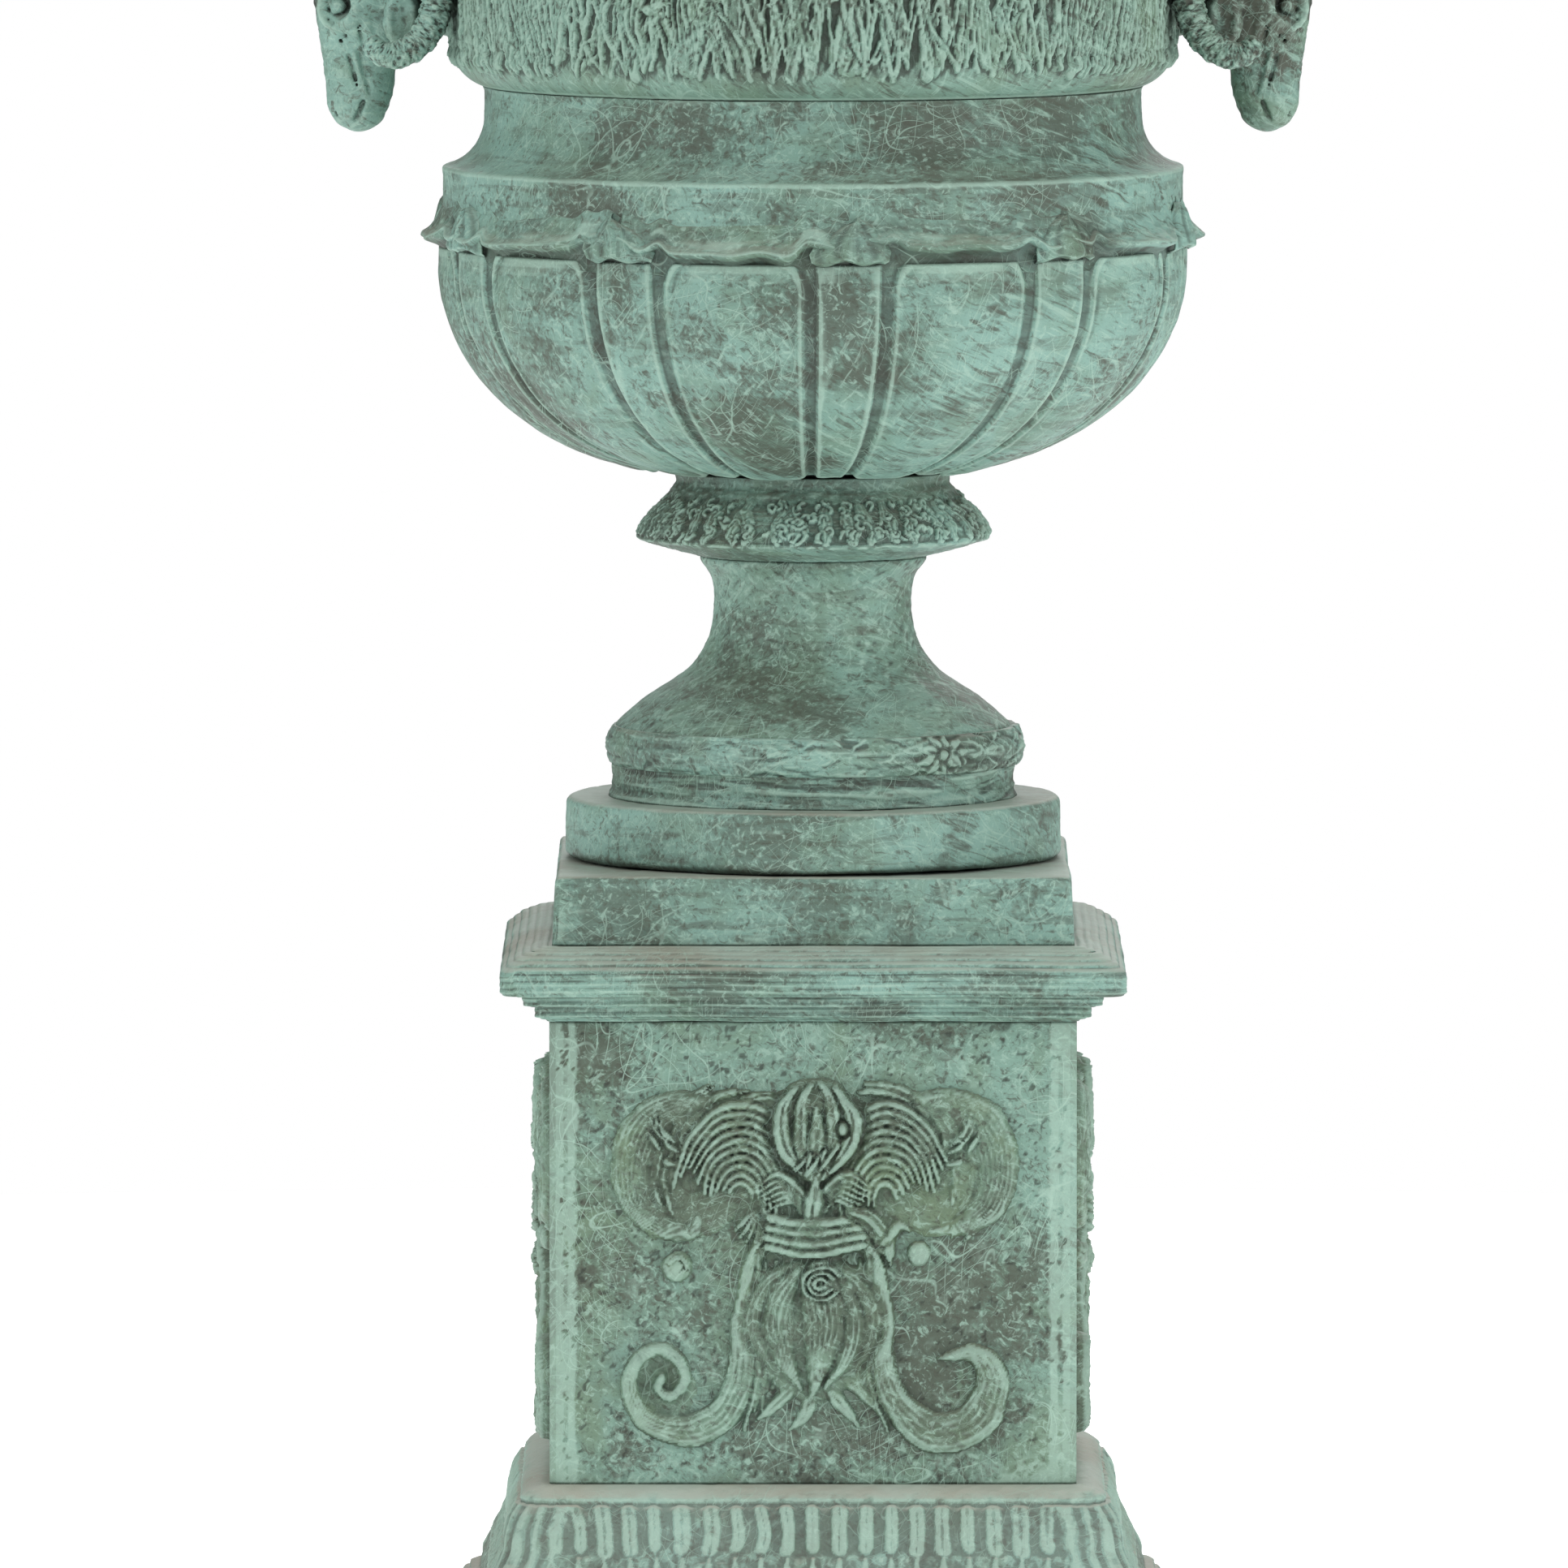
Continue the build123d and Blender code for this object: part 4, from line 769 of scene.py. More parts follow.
def make_laurel():
    r, z0, z1 = reach("laurel_ring"), low("laurel_ring"), top("laurel_ring")
    seat, middle = r - 9 * MM, (z0 + z1) / 2
    outer = np.array(resample(arc((seat, z0 - 1 * MM), (r - 4.5 * MM, middle), (seat - 2 * MM, z1 + 2 * MM),
                                  40), 0.9 * MM))
    columns = 960
    rng = np.random.default_rng(5)
    around = tau * r
    u = np.linspace(-around / 2, around / 2, columns, endpoint=False)
    v = np.linspace(-0.5, 0.5, len(outer)) * 0.9 * MM * len(outer)
    carving = Carving(u, v, around)
    pitch = 38 * MM
    count = int(around / pitch)
    for k in range(count):
        u0 = -around / 2 + k * around / count
        for row, tilt in ((-8.0, -0.16), (8.5, 0.17), (0.5, 0.0)):
            start = u0 + (0.5 if row == 0.5 else 0.0) * around / count
            lean = tilt + rng.normal(0, 0.08)
            length = (60 + rng.uniform(-8, 8)) * MM
            base = np.array([start, row * MM * 0.7])
            tip = base - length * np.array([cos(lean), -sin(lean)])
            bow = base - 0.5 * length * np.array([cos(lean * 1.6), -sin(lean * 1.6)])
            w = (9.5 if row != 0.5 else 8.5) * MM * rng.uniform(0.9, 1.15)
            carving.stroke([base, bow, tip], (0.25 * w, 0.75 * w, w, 0.85 * w, 0.5 * w, 0.04 * w),
                           (3.2 * MM, 4.2 * MM, 4.9 * MM), rib=0.35, floor=0.5, gap=0.16)
            for side in (-1, 1):
                vein = base - 0.35 * length * np.array([cos(lean), -sin(lean)])
                tip_end = vein + np.array([-0.22 * length, side * 0.6 * w])
                carving.stroke([vein, 0.5 * (vein + tip_end), tip_end], (0.7 * MM, 0.9 * MM, 0.3 * MM),
                               5.3 * MM, floor=0.7, gap=0.5)
    knot = radians(38) * r
    for k in range(9):
        swing = tau * k / 9
        tip = np.array([knot + 21 * MM * cos(swing), 12 * MM * sin(swing)])
        carving.stroke([(knot, 0), (0.5 * (knot + tip[0]), 0.55 * tip[1]), tip],
                       (1.5 * MM, 4.2 * MM, 0.8 * MM), 5.6 * MM, rib=0.3,
                       floor=0.5, gap=0.3)
    carving.dome((knot, 0), (4 * MM, 4 * MM), 6.2 * MM)
    t = (u / around + 0.5)[None, :]
    bend = 1.8 * MM * fractal(t * 40, v[:, None] * 60, 42, 40, 2)
    carving.warp(bend, 0.6 * bend)
    carving.blur(1)
    angle = u / r
    worn = smoothstep(-0.5, 0.35, lattice_noise((angle / tau + 0.5)[None, :] * 6, v[:, None] * 25, 41, 6)
                      - 0.25)
    worn = np.maximum(worn, smoothstep(0.1, 0.6, np.sin(angle))[None, :])
    relief = carving.h * (0.30 + 0.70 * worn)
    relief += 0.7 * MM * fractal((angle / tau + 0.5)[None, :] * 26, v[:, None] * 330, 43, 26)
    ring = turned("laurel_visual", outer, [(0.128, z1), (0.128, z0)], columns, relief, 4.5 * MM)
    place_piece(ring, leaf_bronze, "urn", "verdigris_urn", "laurel_ring")


def make_stem():
    z0, z1 = low("stem"), top("stem")
    line = spline([(0.1345, z0), (0.131, z0 + 5 * MM), (0.113, 0.6605), (0.0855, 0.679), (0.0715, 0.699),
                   (0.067, 0.722), (0.0685, 0.741), (0.076, 0.753), (0.0765, z1)], 10)
    outer = resample(line, 1.3 * MM)
    inner = [(9 * MM, z1), (9 * MM, z1 - 8 * MM), (0.064, z1 - 8 * MM), (0.058, 0.72), (0.063, 0.69),
             (0.074, 0.673),
             (0.105, 0.654), (0.123, z0)]

    def drift(angle, radius, height):
        t = (angle / tau + 0.5)
        flow = 0.5 * MM * fractal(t * 14 + 6 * height, height * 30, 51, 14, 4)
        return flow + 0.28 * MM * fractal(t * 70, height * 260 + 3 * np.sin(3 * angle), 52, 70, 3)

    stem = turned("stem_visual", outer, inner, 520, drift, 3 * MM)
    place_piece(stem, stem_bronze, "urn", "verdigris_urn", "stem")


def make_collar():
    """A bell-shaped skirt of close, curled leaves."""
    r, z0, z1 = reach("knop_collar"), low("knop_collar"), top("knop_collar")
    edge, neck = z0 + 12 * MM, 0.094
    under = [(0.077, z0), (0.097, z0 + 5 * MM), (r - 4 * MM, edge - 1.0 * MM), (r - 1 * MM, edge + 1 * MM)]
    over = [(r, edge + 3.5 * MM), (0.1170, edge + 12 * MM), (0.110, edge + 20 * MM), (0.1015, edge + 28 * MM),
            (0.0945, edge + 35 * MM), (0.0925, z1 - 5 * MM), (neck, z1 + 1 * MM)]
    outer = soften(np.vstack([spline(under, 8), spline(over, 8)]), 0.9 * MM, 0.8 * MM)
    columns = 900
    lengths = np.concatenate([[0], np.cumsum(np.hypot(*np.diff(outer, axis=0).T))])
    v = lengths - np.interp(edge + 2 * MM, outer[:, 1], lengths)
    girth = 0.108
    around = tau * girth
    u = np.linspace(-around / 2, around / 2, columns, endpoint=False)
    carving = Carving(u, v, around, 0.35)
    rng = np.random.default_rng(8)
    for k in range(44):
        u0 = -around / 2 + (k + 0.5) * around / 44 + rng.normal(0, 2) * MM
        lean = rng.uniform(-9, 9) * MM
        carving.stroke([(u0 + lean, 42 * MM), (u0 + lean * 0.3, 24 * MM), (u0 - lean * 0.3, 10 * MM),
                        (u0, 0.5 * MM)],
                       (1.5 * MM, 4.0 * MM, 5.4 * MM, 4.6 * MM, 2.5 * MM), (1.5 * MM, 2.8 * MM, 3.4 * MM),
                       strands=3,
                       depth=0.4, floor=0.4, gap=0.3)
    for k in range(330):
        c = np.array([rng.uniform(-around / 2, around / 2), rng.uniform(3, 37) * MM])
        size = rng.uniform(2.2, 4.6) * MM
        a, flip = rng.uniform(0, tau), rng.choice((-1, 1))
        turns = np.linspace(0, rng.uniform(1.6, 4.6), 6)
        lock = [c + size * (1 - 0.13 * s) * np.array([cos(a + flip * s), 1.25 * sin(a + flip * s)])
                for s in turns]
        carving.stroke(lock, (1.1 * MM, 1.6 * MM, 1.1 * MM), rng.uniform(2.6, 4.2) * MM, floor=0.35, gap=0.8)
    angle = u / girth
    t = (angle / tau + 0.5)[None, :]
    bend = 1.6 * MM * fractal(t * 55, v[:, None] * 110, 62, 55, 2)
    carving.warp(bend, 0.8 * bend)
    fade = smoothstep(-2.5 * MM, 0.5 * MM, v)[:, None] * (1 - smoothstep(33 * MM, 42 * MM, v))[:, None]
    smooth_side = 1 - 0.5 * smoothstep(0.72, 0.98, -np.sin(angle))[None, :]
    relief = (carving.h * smooth_side - 2.6 * MM) * fade
    relief = relief + 0.35 * MM * fractal(t * 60, v[:, None] * 500, 61, 60, 3)
    ragged = 1.5 * MM * lattice_noise(t * 48, v[:, None] * 0, 63,
                                      48) * np.exp(-((v[:, None] / (3 * MM)) ** 2))
    inner = [(0.060, z1), (0.060, z1 - 8 * MM), (0.084, z1 - 8 * MM), (0.097, edge + 8 * MM),
             (0.076, z0 + 8 * MM),
             (9 * MM, z0 + 8 * MM), (9 * MM, z0)]
    collar = turned("collar_visual", outer, inner, columns, relief + ragged, 5 * MM)
    place_piece(collar, leaf_bronze, "urn", "verdigris_urn", "knop_collar")


# The bowl's ten wide petals and ten narrow strips
REPEATS = 10
REPEAT = tau / REPEATS
STRIP_AT = radians(5.5)
PETAL_HALF = radians(11.3)
STRIP_HALF = radians(4.9)


def petal_places(angle):
    """The angle from the nearest strip's middle, and from the nearest petal's middle."""
    from_strip = (angle - STRIP_AT + REPEAT / 2) % REPEAT - REPEAT / 2
    from_petal = (angle - STRIP_AT) % REPEAT - REPEAT / 2
    return from_strip, from_petal


def make_bowl():
    z0, z1 = low("bowl_shell"), top("bowl_shell")
    floor_r, wide_r = 69.4 * MM, reach("bowl_shell")
    widest, shoulder = z0 + 140 * MM, z1 - 20 * MM
    swing = np.linspace(0, pi / 2, 160)
    curve_r, curve_z = floor_r + (wide_r - floor_r) * np.sin(swing), widest - (widest - z0) * np.cos(swing)
    curve = np.column_stack([curve_r, curve_z])
    outer = resample(np.vstack([curve, [(wide_r, shoulder - 1 * MM)]]), 1.6 * MM)
    lengths = np.concatenate([[0], np.cumsum(np.hypot(*np.diff(outer, axis=0).T))])
    inner_r = wide_r - 12 * MM
    inner = [(wide_r - 4 * MM, shoulder), (wide_r - 4 * MM, z1), (0.215, z1), (0.215, z1 - 8 * MM),
             (inner_r, z1 - 8 * MM)]
    for s in np.linspace(pi / 2, 0, 16):
        inner.append((floor_r + (inner_r - floor_r) * sin(s), widest - (widest - z0 - 10 * MM) * cos(s)))
    inner += [(9 * MM, z0 + 10 * MM), (9 * MM, z0)]

    def petals(angle, radius, height):
        s = lengths[:, None]
        from_strip, from_petal = petal_places(angle)
        # How far inside the petal's and the strip's outline each place is
        petal_side = PETAL_HALF * radius - np.abs(from_petal) * radius
        petal_end = np.minimum(s - 34 * MM, lengths[-1] + 13 * MM - s)
        corner = np.minimum(32 * MM, 0.8 * PETAL_HALF * radius)
        petal_edge = corner - np.hypot(np.maximum(corner - petal_side, 0), np.maximum(corner - petal_end, 0))
        nearest = np.minimum(petal_side, petal_end)
        petal_edge = np.where(nearest > corner, nearest, petal_edge)
        strip_edge = np.minimum(STRIP_HALF * radius - np.abs(from_strip) * radius, s - 44 * MM)
        pillow = 4.2 * MM * np.clip(1 - (from_petal / PETAL_HALF) ** 2, 0, 1) ** 0.8
        t = (angle / tau + 0.5)
        worn = 0.75 + 0.45 * lattice_noise(t * 40, s * 22, 73, 40)
        rim = 1.5 * MM * worn * np.exp(-(((petal_edge - 3.6 * MM) / (2.4 * MM)) ** 2))
        groove = -0.9 * MM * worn * np.exp(-(((petal_edge - 8.2 * MM) / (3.2 * MM)) ** 2))
        raised = smoothstep(-1.6 * MM, 3.0 * MM, petal_edge)
        petal = raised * (0.6 * MM + pillow) + rim + groove
        strip = smoothstep(-1.2 * MM, 1.6 * MM, strip_edge) * 2.4 * MM
        strip += 0.9 * MM * worn * np.exp(-(((strip_edge - 2.4 * MM) / (1.3 * MM)) ** 2))
        strip += 0.5 * MM * fractal(from_strip * radius * 160 + 30, s * 26, 74, 0, 3) * (strip_edge > 3 * MM)
        ends = smoothstep(26 * MM, 44 * MM, s)
        cast = 0.35 * MM * fractal(t * 50, s * 60, 71, 50, 4)
        cast += 0.9 * MM * lattice_noise(t * 12, s * 9, 72, 12)
        return -2.2 * MM + ends * np.maximum(petal, strip) + cast

    bowl = turned("bowl_visual", outer, inner, 1080, petals, 7 * MM)
    place_piece(bowl, urn_bronze, "urn", "verdigris_urn", "bowl_shell")


def make_leaf_ring():
    """Each petal's top rolls outward in a ruffled lip, and each strip ends in a larger pointed leaf."""
    columns, rows = 1400, 46
    angle = np.linspace(-pi, pi, columns, endpoint=False)
    from_strip, from_petal = petal_places(angle)
    t = angle / tau + 0.5
    bore, low_z, top_z, full = 247.4 * MM, low("leaf_tip_ring"), top("leaf_tip_ring"), reach("leaf_tip_ring")
    wide_r, seam = reach("bowl_shell"), low("waist_band")
    across = np.clip(np.abs(from_petal) / (REPEAT / 2), 0, 1)
    ruffle = lattice_noise(t * 90, t * 0 + 2.0, 81, 90)
    slow = lattice_noise(t * 23, t * 0 + 5.0, 82, 23)
    skew = np.clip(from_petal / (REPEAT / 2), -1, 1)
    junction = np.exp(-(((np.abs(from_petal) - PETAL_HALF) / radians(1.5)) ** 2))
    # The lip's reach outward and its height, along the ring
    proud = (13.0 - 3.5 * across**2 + 2.2 * slow + 1.4 * ruffle - 4.0 * junction) * MM
    drop = 12.0 - 5.0 * across**2 + 4.0 * skew * np.sin(7 * slow) - 5.0 * junction + 2.4 * slow + 1.8 * ruffle
    drop = np.minimum(drop, 15.0)
    lip_z = seam - drop * MM
    section = [(-14.0, -0.10), (-7.0, 0.02), (-3.6, 0.45), (-1.4, 0.93), (0.0, 1.0), (1.1, 0.95), (2.6, 0.76),
               (5.0, 0.52), (8.0, 0.34), (11.5, 0.20), (15.0, 0.10), (19.0, -0.08)]
    knots = np.linspace(0, 1, len(section))
    share = np.linspace(0, 1, rows)
    lift = np.interp(share, knots, [a for a, _ in section])[:, None] * MM
    swell = np.interp(share, knots, [b for _, b in section])[:, None]
    height = lip_z + lift * (1 + 0.12 * ruffle)
    radius = wide_r + swell * proud
    radius[1:-1] = 0.25 * radius[:-2] + 0.5 * radius[1:-1] + 0.25 * radius[2:]
    body = np.exp(-(((share - 0.66) / 0.22) ** 2))[:, None]
    veins = np.sin(from_petal * 120 + 3.0 * slow) * (0.6 + 0.4 * ruffle)
    folds = fractal(t[None, :] * 60, share[:, None] * 5, 83, 60, 4)
    radius += (0.8 * veins[None, :] + 1.5 * folds) * MM * body
    # Tone: painted highlight along the lip and on the folds, painted shade under the lip
    lip = np.exp(-(((share - 0.42) / 0.06) ** 2))[:, None]
    under = 1 - smoothstep(0.12, 0.26, share)[:, None]
    tone = np.clip(1.1 * lip * (0.7 + 0.6 * slow) - 1.0 * under + 0.7 * folds * body, -1, 1)
    back = [(bore, top_z - 1 * MM), (bore, low_z + 8 * MM), (wide_r - 2.6 * MM, low_z + 6 * MM)]
    radius = np.vstack([radius, np.repeat([[r] for r, _ in back], columns, axis=1)])
    height = np.vstack([height, np.repeat([[z] for _, z in back], columns, axis=1)])
    tone = np.vstack([tone, np.zeros((len(back), columns))])
    ring = round_shell("leaf_ring_visual", np.minimum(radius, full - 0.2 * MM), height, tone)
    place_piece(ring, leaf_bronze, "urn", "verdigris_urn", "leaf_tip_ring")

    rng = np.random.default_rng(17)
    parts = [tip_leaf(STRIP_AT + k * REPEAT, wide_r, seam, full, rng) for k in range(REPEATS)]
    leaves = joined("leaf_tips_visual", parts)
    dress(leaves, leaf_bronze)
    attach(leaves, "urn")


def tip_leaf(middle, wide_r, seam, full, rng):
    """A pointed leaf folded over a strip's end like a hood, with a midrib and a wavy lower edge."""
    rows, columns = 44, 57
    s = np.linspace(0, 1, rows)[:, None]
    p = np.linspace(-1, 1, columns)[None, :]
    lean, turn = rng.uniform(-0.5, 0.5), rng.uniform(0, tau)
    stations = (0, 0.10, 0.28, 0.50, 0.75, 0.90, 1.0)
    half = 27 * MM * np.interp(s, stations, (0.86, 0.94, 1.0, 0.88, 0.54, 0.28, 0.05))
    climb = np.interp(s, stations, (-19, -17.5, -12, -5, 3, 7, 9.5)) * MM
    out = np.interp(s, stations, (8.5, 12.5, 12.0, 10.0, 8.0, 6.5, 4.5)) * MM
    cup = -6.5 * np.abs(p) ** 2.4 * MM
    veins = 0.45 * MM * np.cos(p * 4.4 * pi + 2 * s + turn) * smoothstep(0.02, 0.2, s)
    rib = 1.3 * MM * np.exp(-((p / 0.10) ** 2)) + veins
    ruffle = 1.6 * MM * np.sin(9 * s + turn) * np.abs(p) ** 3 * np.sign(p)
    radius = np.minimum(wide_r + out + cup + rib + ruffle, full - 0.3 * MM)
    wave = (1.3 * np.cos(6.0 * p + turn) - 2.0 * np.abs(p) ** 1.5) * (1 - s) ** 2
    height = seam + climb + (wave + lean * 6 * s * p) * MM
    angle = middle + (half * p + lean * 12 * MM * s**2) / wide_r
    thick = 1.6 * MM
    front = np.stack([radius * np.sin(angle), -radius * np.cos(angle), height], axis=-1)
    inner = radius - thick
    back = np.stack([inner * np.sin(angle), -inner * np.cos(angle), height - 0.6 * MM], axis=-1)
    n = rows * columns
    quads = grid_quads(rows, columns)
    ring = np.concatenate([np.arange(columns), np.arange(2, rows) * columns - 1, n - 1 - np.arange(columns),
                           np.arange(rows - 2, 0, -1) * columns])
    after = np.roll(ring, -1)
    wall = np.stack([ring, ring + n, after + n, after], axis=1)
    # Tone: painted highlights on the leaf's edges, ends and midrib; its back sheet is painted in shade
    edge = smoothstep(0.90, 1.0, np.abs(p)) + np.exp(-(((s - 0.05) / 0.05) ** 2)) + smoothstep(0.93, 1.0, s)
    tone = np.clip(0.7 * edge + 0.55 * rib / MM - 0.35, -1, 1)
    tone = np.concatenate([tone.ravel(), -0.5 * np.ones(n)])
    return np.vstack([front.reshape(-1, 3), back.reshape(-1, 3)]), np.vstack([quads, quads[:, ::-1] + n,
                                                                              wall]), tone


def edge_light(obj, height, width):
    """Raises the tone of a turned piece along an edge, for a painted highlight line there."""
    count = len(obj.data.vertices)
    place = np.empty(3 * count, np.float32)
    obj.data.vertices.foreach_get("co", place)
    tone = np.empty(count, np.float32)
    layer = obj.data.attributes["tone"].data
    layer.foreach_get("value", tone)
    tone += np.exp(-(((place[2::3] - height) / width) ** 2))
    layer.foreach_set("value", tone)


def make_waist():
    r, z0, z1 = reach("waist_band"), low("waist_band"), top("waist_band")
    fascia, waist_r = z0 + 33 * MM, 222 * MM
    outer = [(r - 0.5 * MM, z0), (r - 0.5 * MM, fascia - 6 * MM), (r, fascia - 3 * MM),
             (r, fascia - 0.6 * MM),
             (r - 2.5 * MM, fascia + 0.4 * MM)]
    outer += arc((r - 3 * MM, fascia + 0.4 * MM), (231 * MM, z0 + 44 * MM),
                 (waist_r + 0.5 * MM, z0 + 68 * MM), 20)[1:]
    outer += [(waist_r, z1 - 14 * MM), (waist_r, z1 - 3 * MM), (waist_r + 1.5 * MM, z1)]
    outer = soften(outer, 1.2 * MM, 0.9 * MM)
    inner = [(0.196, z1), (0.196, z1 - 8 * MM), (0.214, z1 - 8 * MM), (0.214, z0 + 68 * MM),
             (0.220, z0 + 46 * MM),
             (r - 8 * MM, fascia - 8 * MM), (r - 8 * MM, z0 + 8 * MM), (0.215, z0 + 8 * MM), (0.215, z0)]

    def ripples(angle, radius, height):
        t = (angle / tau + 0.5)
        broad = 0.5 * MM * fractal(t * 18, height * 14, 91, 18, 3)
        return broad + 0.14 * MM * fractal(t * 90, height * 420, 92, 90, 3)

    waist = turned("waist_visual", outer, inner, 900, ripples, 3 * MM)
    # painted highlight line along the fascia's top edge
    edge_light(waist, fascia - 1.2 * MM, 1.6 * MM)
    place_piece(waist, urn_bronze, "urn", "verdigris_urn", "waist_band")


# The drum's frieze --------------------------------------------------------------------------------
def draw_fleece(carving, middle, rng):
    """Hanging locks of wool on both sides of a ram's neck, spreading out like a mane."""
    for layer in range(3):
        for k in range(108):
            place = (k + 0.5) / 108 - 0.5
            u0 = middle + place * 330 * MM + rng.normal(0, 2.5) * MM
            count = 7
            v = np.linspace(rng.uniform(1.17, 1.262),
                            rng.uniform(1.087, 1.098) + 0.012 * layer * rng.uniform(0, 1), count)
            sway = np.cumsum(rng.normal(0, 1.7, count)) * MM + place * np.linspace(0, 34, count) ** 1.1 * MM
            w = rng.uniform(1.1, 2.1) * MM
            carving.stroke(np.column_stack([u0 + sway, v]), (0.8 * w, w, w, 0.9 * w, 0.6 * w),
                           rng.uniform(4.0, 6.8) * MM,
                           floor=0.25, gap=0.6)


def draw_reeds(carving, start, end, rng):
    """Grasses, leaves, small trees and hanging drapery between the rams."""
    width = end - start
    spots = int(width / (34 * MM))
    for k in range(spots):
        u0 = start + (k + rng.uniform(0.25, 0.75)) * width / spots
        if k % 3 == 0:
            draw_tree(carving, u0, rng)
        elif k % 3 == 1:
            lean = rng.uniform(-12, 12) * MM
            w = rng.uniform(7, 11) * MM
            foot = rng.uniform(1.092, 1.099)
            carving.stroke([(u0 + lean, foot + 85 * MM), (u0 + 0.5 * lean, foot + 45 * MM),
                            (u0, foot + 8 * MM)],
                           (0.3 * w, 0.8 * w, w, 0.9 * w), rng.uniform(3.5, 5.0) * MM, strands=4,
                           depth=0.25, floor=0.5, gap=0.25)
        else:
            for i in range(18):
                c = np.array([u0 + rng.uniform(-16, 16) * MM, rng.uniform(1.10, 1.21)])
                a = rng.uniform(0, tau)
                step = rng.uniform(4, 9) * MM
                bend = rng.uniform(-0.9, 0.9)
                points = [c, c + step * np.array([cos(a), sin(a)]),
                          c + 1.8 * step * np.array([cos(a + bend), sin(a + bend)])]
                carving.stroke(points, (1.2 * MM, 2.0 * MM, 0.5 * MM), rng.uniform(3.2, 5.0) * MM,
                               floor=0.35, gap=0.5)
    # Tufts: blades that fan out of one root
    for k in range(int(width / (8.5 * MM))):
        root = start + (k + rng.uniform(0, 1)) * 8.5 * MM
        foot = rng.uniform(1.088, 1.099)
        for i in range(rng.integers(3, 6)):
            lean = rng.normal(0, 15) * MM
            tall = rng.uniform(45, 125) * MM
            w = rng.uniform(1.2, 2.6) * MM
            bow = rng.normal(0, 5) * MM
            points = [(root, foot), (root + 0.25 * lean + bow, foot + 0.4 * tall),
                      (root + 0.6 * lean + bow, foot + 0.75 * tall),
                      (root + lean, foot + tall)]
            carving.stroke(points, (0.7 * w, w, 0.8 * w, 0.1 * w), rng.uniform(3.0, 6.0) * MM, rib=0.2,
                           floor=0.35, gap=0.45)
    for k in range(int(width / (9 * MM))):
        c = np.array([start + (k + rng.uniform(0, 1)) * 9 * MM, rng.uniform(1.13, 1.25)])
        a = rng.uniform(0.2, 2.9)
        tip = c + rng.uniform(12, 20) * MM * np.array([cos(a), sin(a)])
        tip[1] = min(tip[1], 1.258)
        w = rng.uniform(2.6, 4.2) * MM
        carving.stroke([c, 0.5 * (c + tip), tip], (0.4 * w, w, 0.1 * w), rng.uniform(3.5, 5.8) * MM,
                       rib=0.35, floor=0.45)


def draw_tree(carving, u0, rng):
    """A knotted trunk with a few boughs."""
    sway = np.cumsum(rng.normal(0, 1.6, 6)) * MM
    v = np.linspace(1.090, 1.215, 6)
    trunk = np.column_stack([u0 + sway, v])
    carving.stroke(trunk, (4.4 * MM, 3.6 * MM, 3.4 * MM, 2.8 * MM), 6.4 * MM, strands=2, depth=0.25,
                   floor=0.4, gap=0.6)
    for i in (1, 2, 3, 4):
        flip = 1 if i % 2 else -1
        start = trunk[i]
        end = start + np.array([flip * rng.uniform(9, 15), rng.uniform(12, 26)]) * MM
        carving.stroke([start, 0.5 * (start + end) + (flip * 2 * MM, 0), end],
                       (2.4 * MM, 1.8 * MM, 0.9 * MM), 5.8 * MM,
                       floor=0.35)


def make_drum():
    r, z0, z1 = reach("frieze_drum"), low("frieze_drum"), top("frieze_drum")
    base = r - 4.5 * MM
    outer = arc((222 * MM, z0), (235.5 * MM, z0 + 7.5 * MM), (r - 2 * MM, z0 + 21 * MM), 20)
    outer += [(base, z0 + 27 * MM)]
    outer += [(base, z1 - 6 * MM), (base, z1)]
    outer = resample(outer, 1.3 * MM)
    lengths = np.concatenate([[0], np.cumsum(np.hypot(*np.diff(outer, axis=0).T))])
    v = lengths + z1 - lengths[-1]
    columns = 1400
    around = tau * base
    u = np.linspace(-around / 2, around / 2, columns, endpoint=False)
    carving = Carving(u, v, around, 0.55)
    rng = np.random.default_rng(23)
    quarter = around / 4
    side_half = 140 * MM
    draw_reeds(carving, -quarter + side_half, quarter - side_half, rng)
    draw_reeds(carving, quarter + side_half, 3 * quarter - side_half, rng)
    draw_fleece(carving, -quarter, rng)
    draw_fleece(carving, quarter, rng)
    t = (u / around + 0.5)[None, :]
    bend = 1.6 * MM * fractal(t * 90, v[:, None] * 45, 102, 90, 3)
    carving.warp(bend, 0.7 * bend)
    fine = fractal(t * 300, v[:, None] * 90, 101, 300, 3)
    ground = smoothstep(1.084, 1.098, v)[:, None]
    lower = smoothstep(1.084, 1.108, v)[:, None]
    relief = carving.h * (0.35 + 0.6 * lower) + 0.8 * MM * fine * ground
    relief *= (1 - smoothstep(z1 - 7 * MM, z1 - 2 * MM, v))[:, None]
    relief += 3.5 * MM * smoothstep(z1 - 6 * MM, z1 - 3 * MM, v)[:, None]
    inner = [(0.212, z1), (0.212, z1 - 8 * MM), (r - 8 * MM, z1 - 8 * MM), (r - 8 * MM, z0 + 18 * MM),
             (0.230, z0 + 8 * MM), (0.196, z0 + 8 * MM), (0.196, z0)]
    drum = turned("drum_visual", outer, inner, columns, relief, 7 * MM)
    # painted highlight line along the drum's bottom edge
    edge_light(drum, z0 + 1.5 * MM, 1.2 * MM)
    place_piece(drum, frieze_bronze, "urn", "verdigris_urn", "frieze_drum")


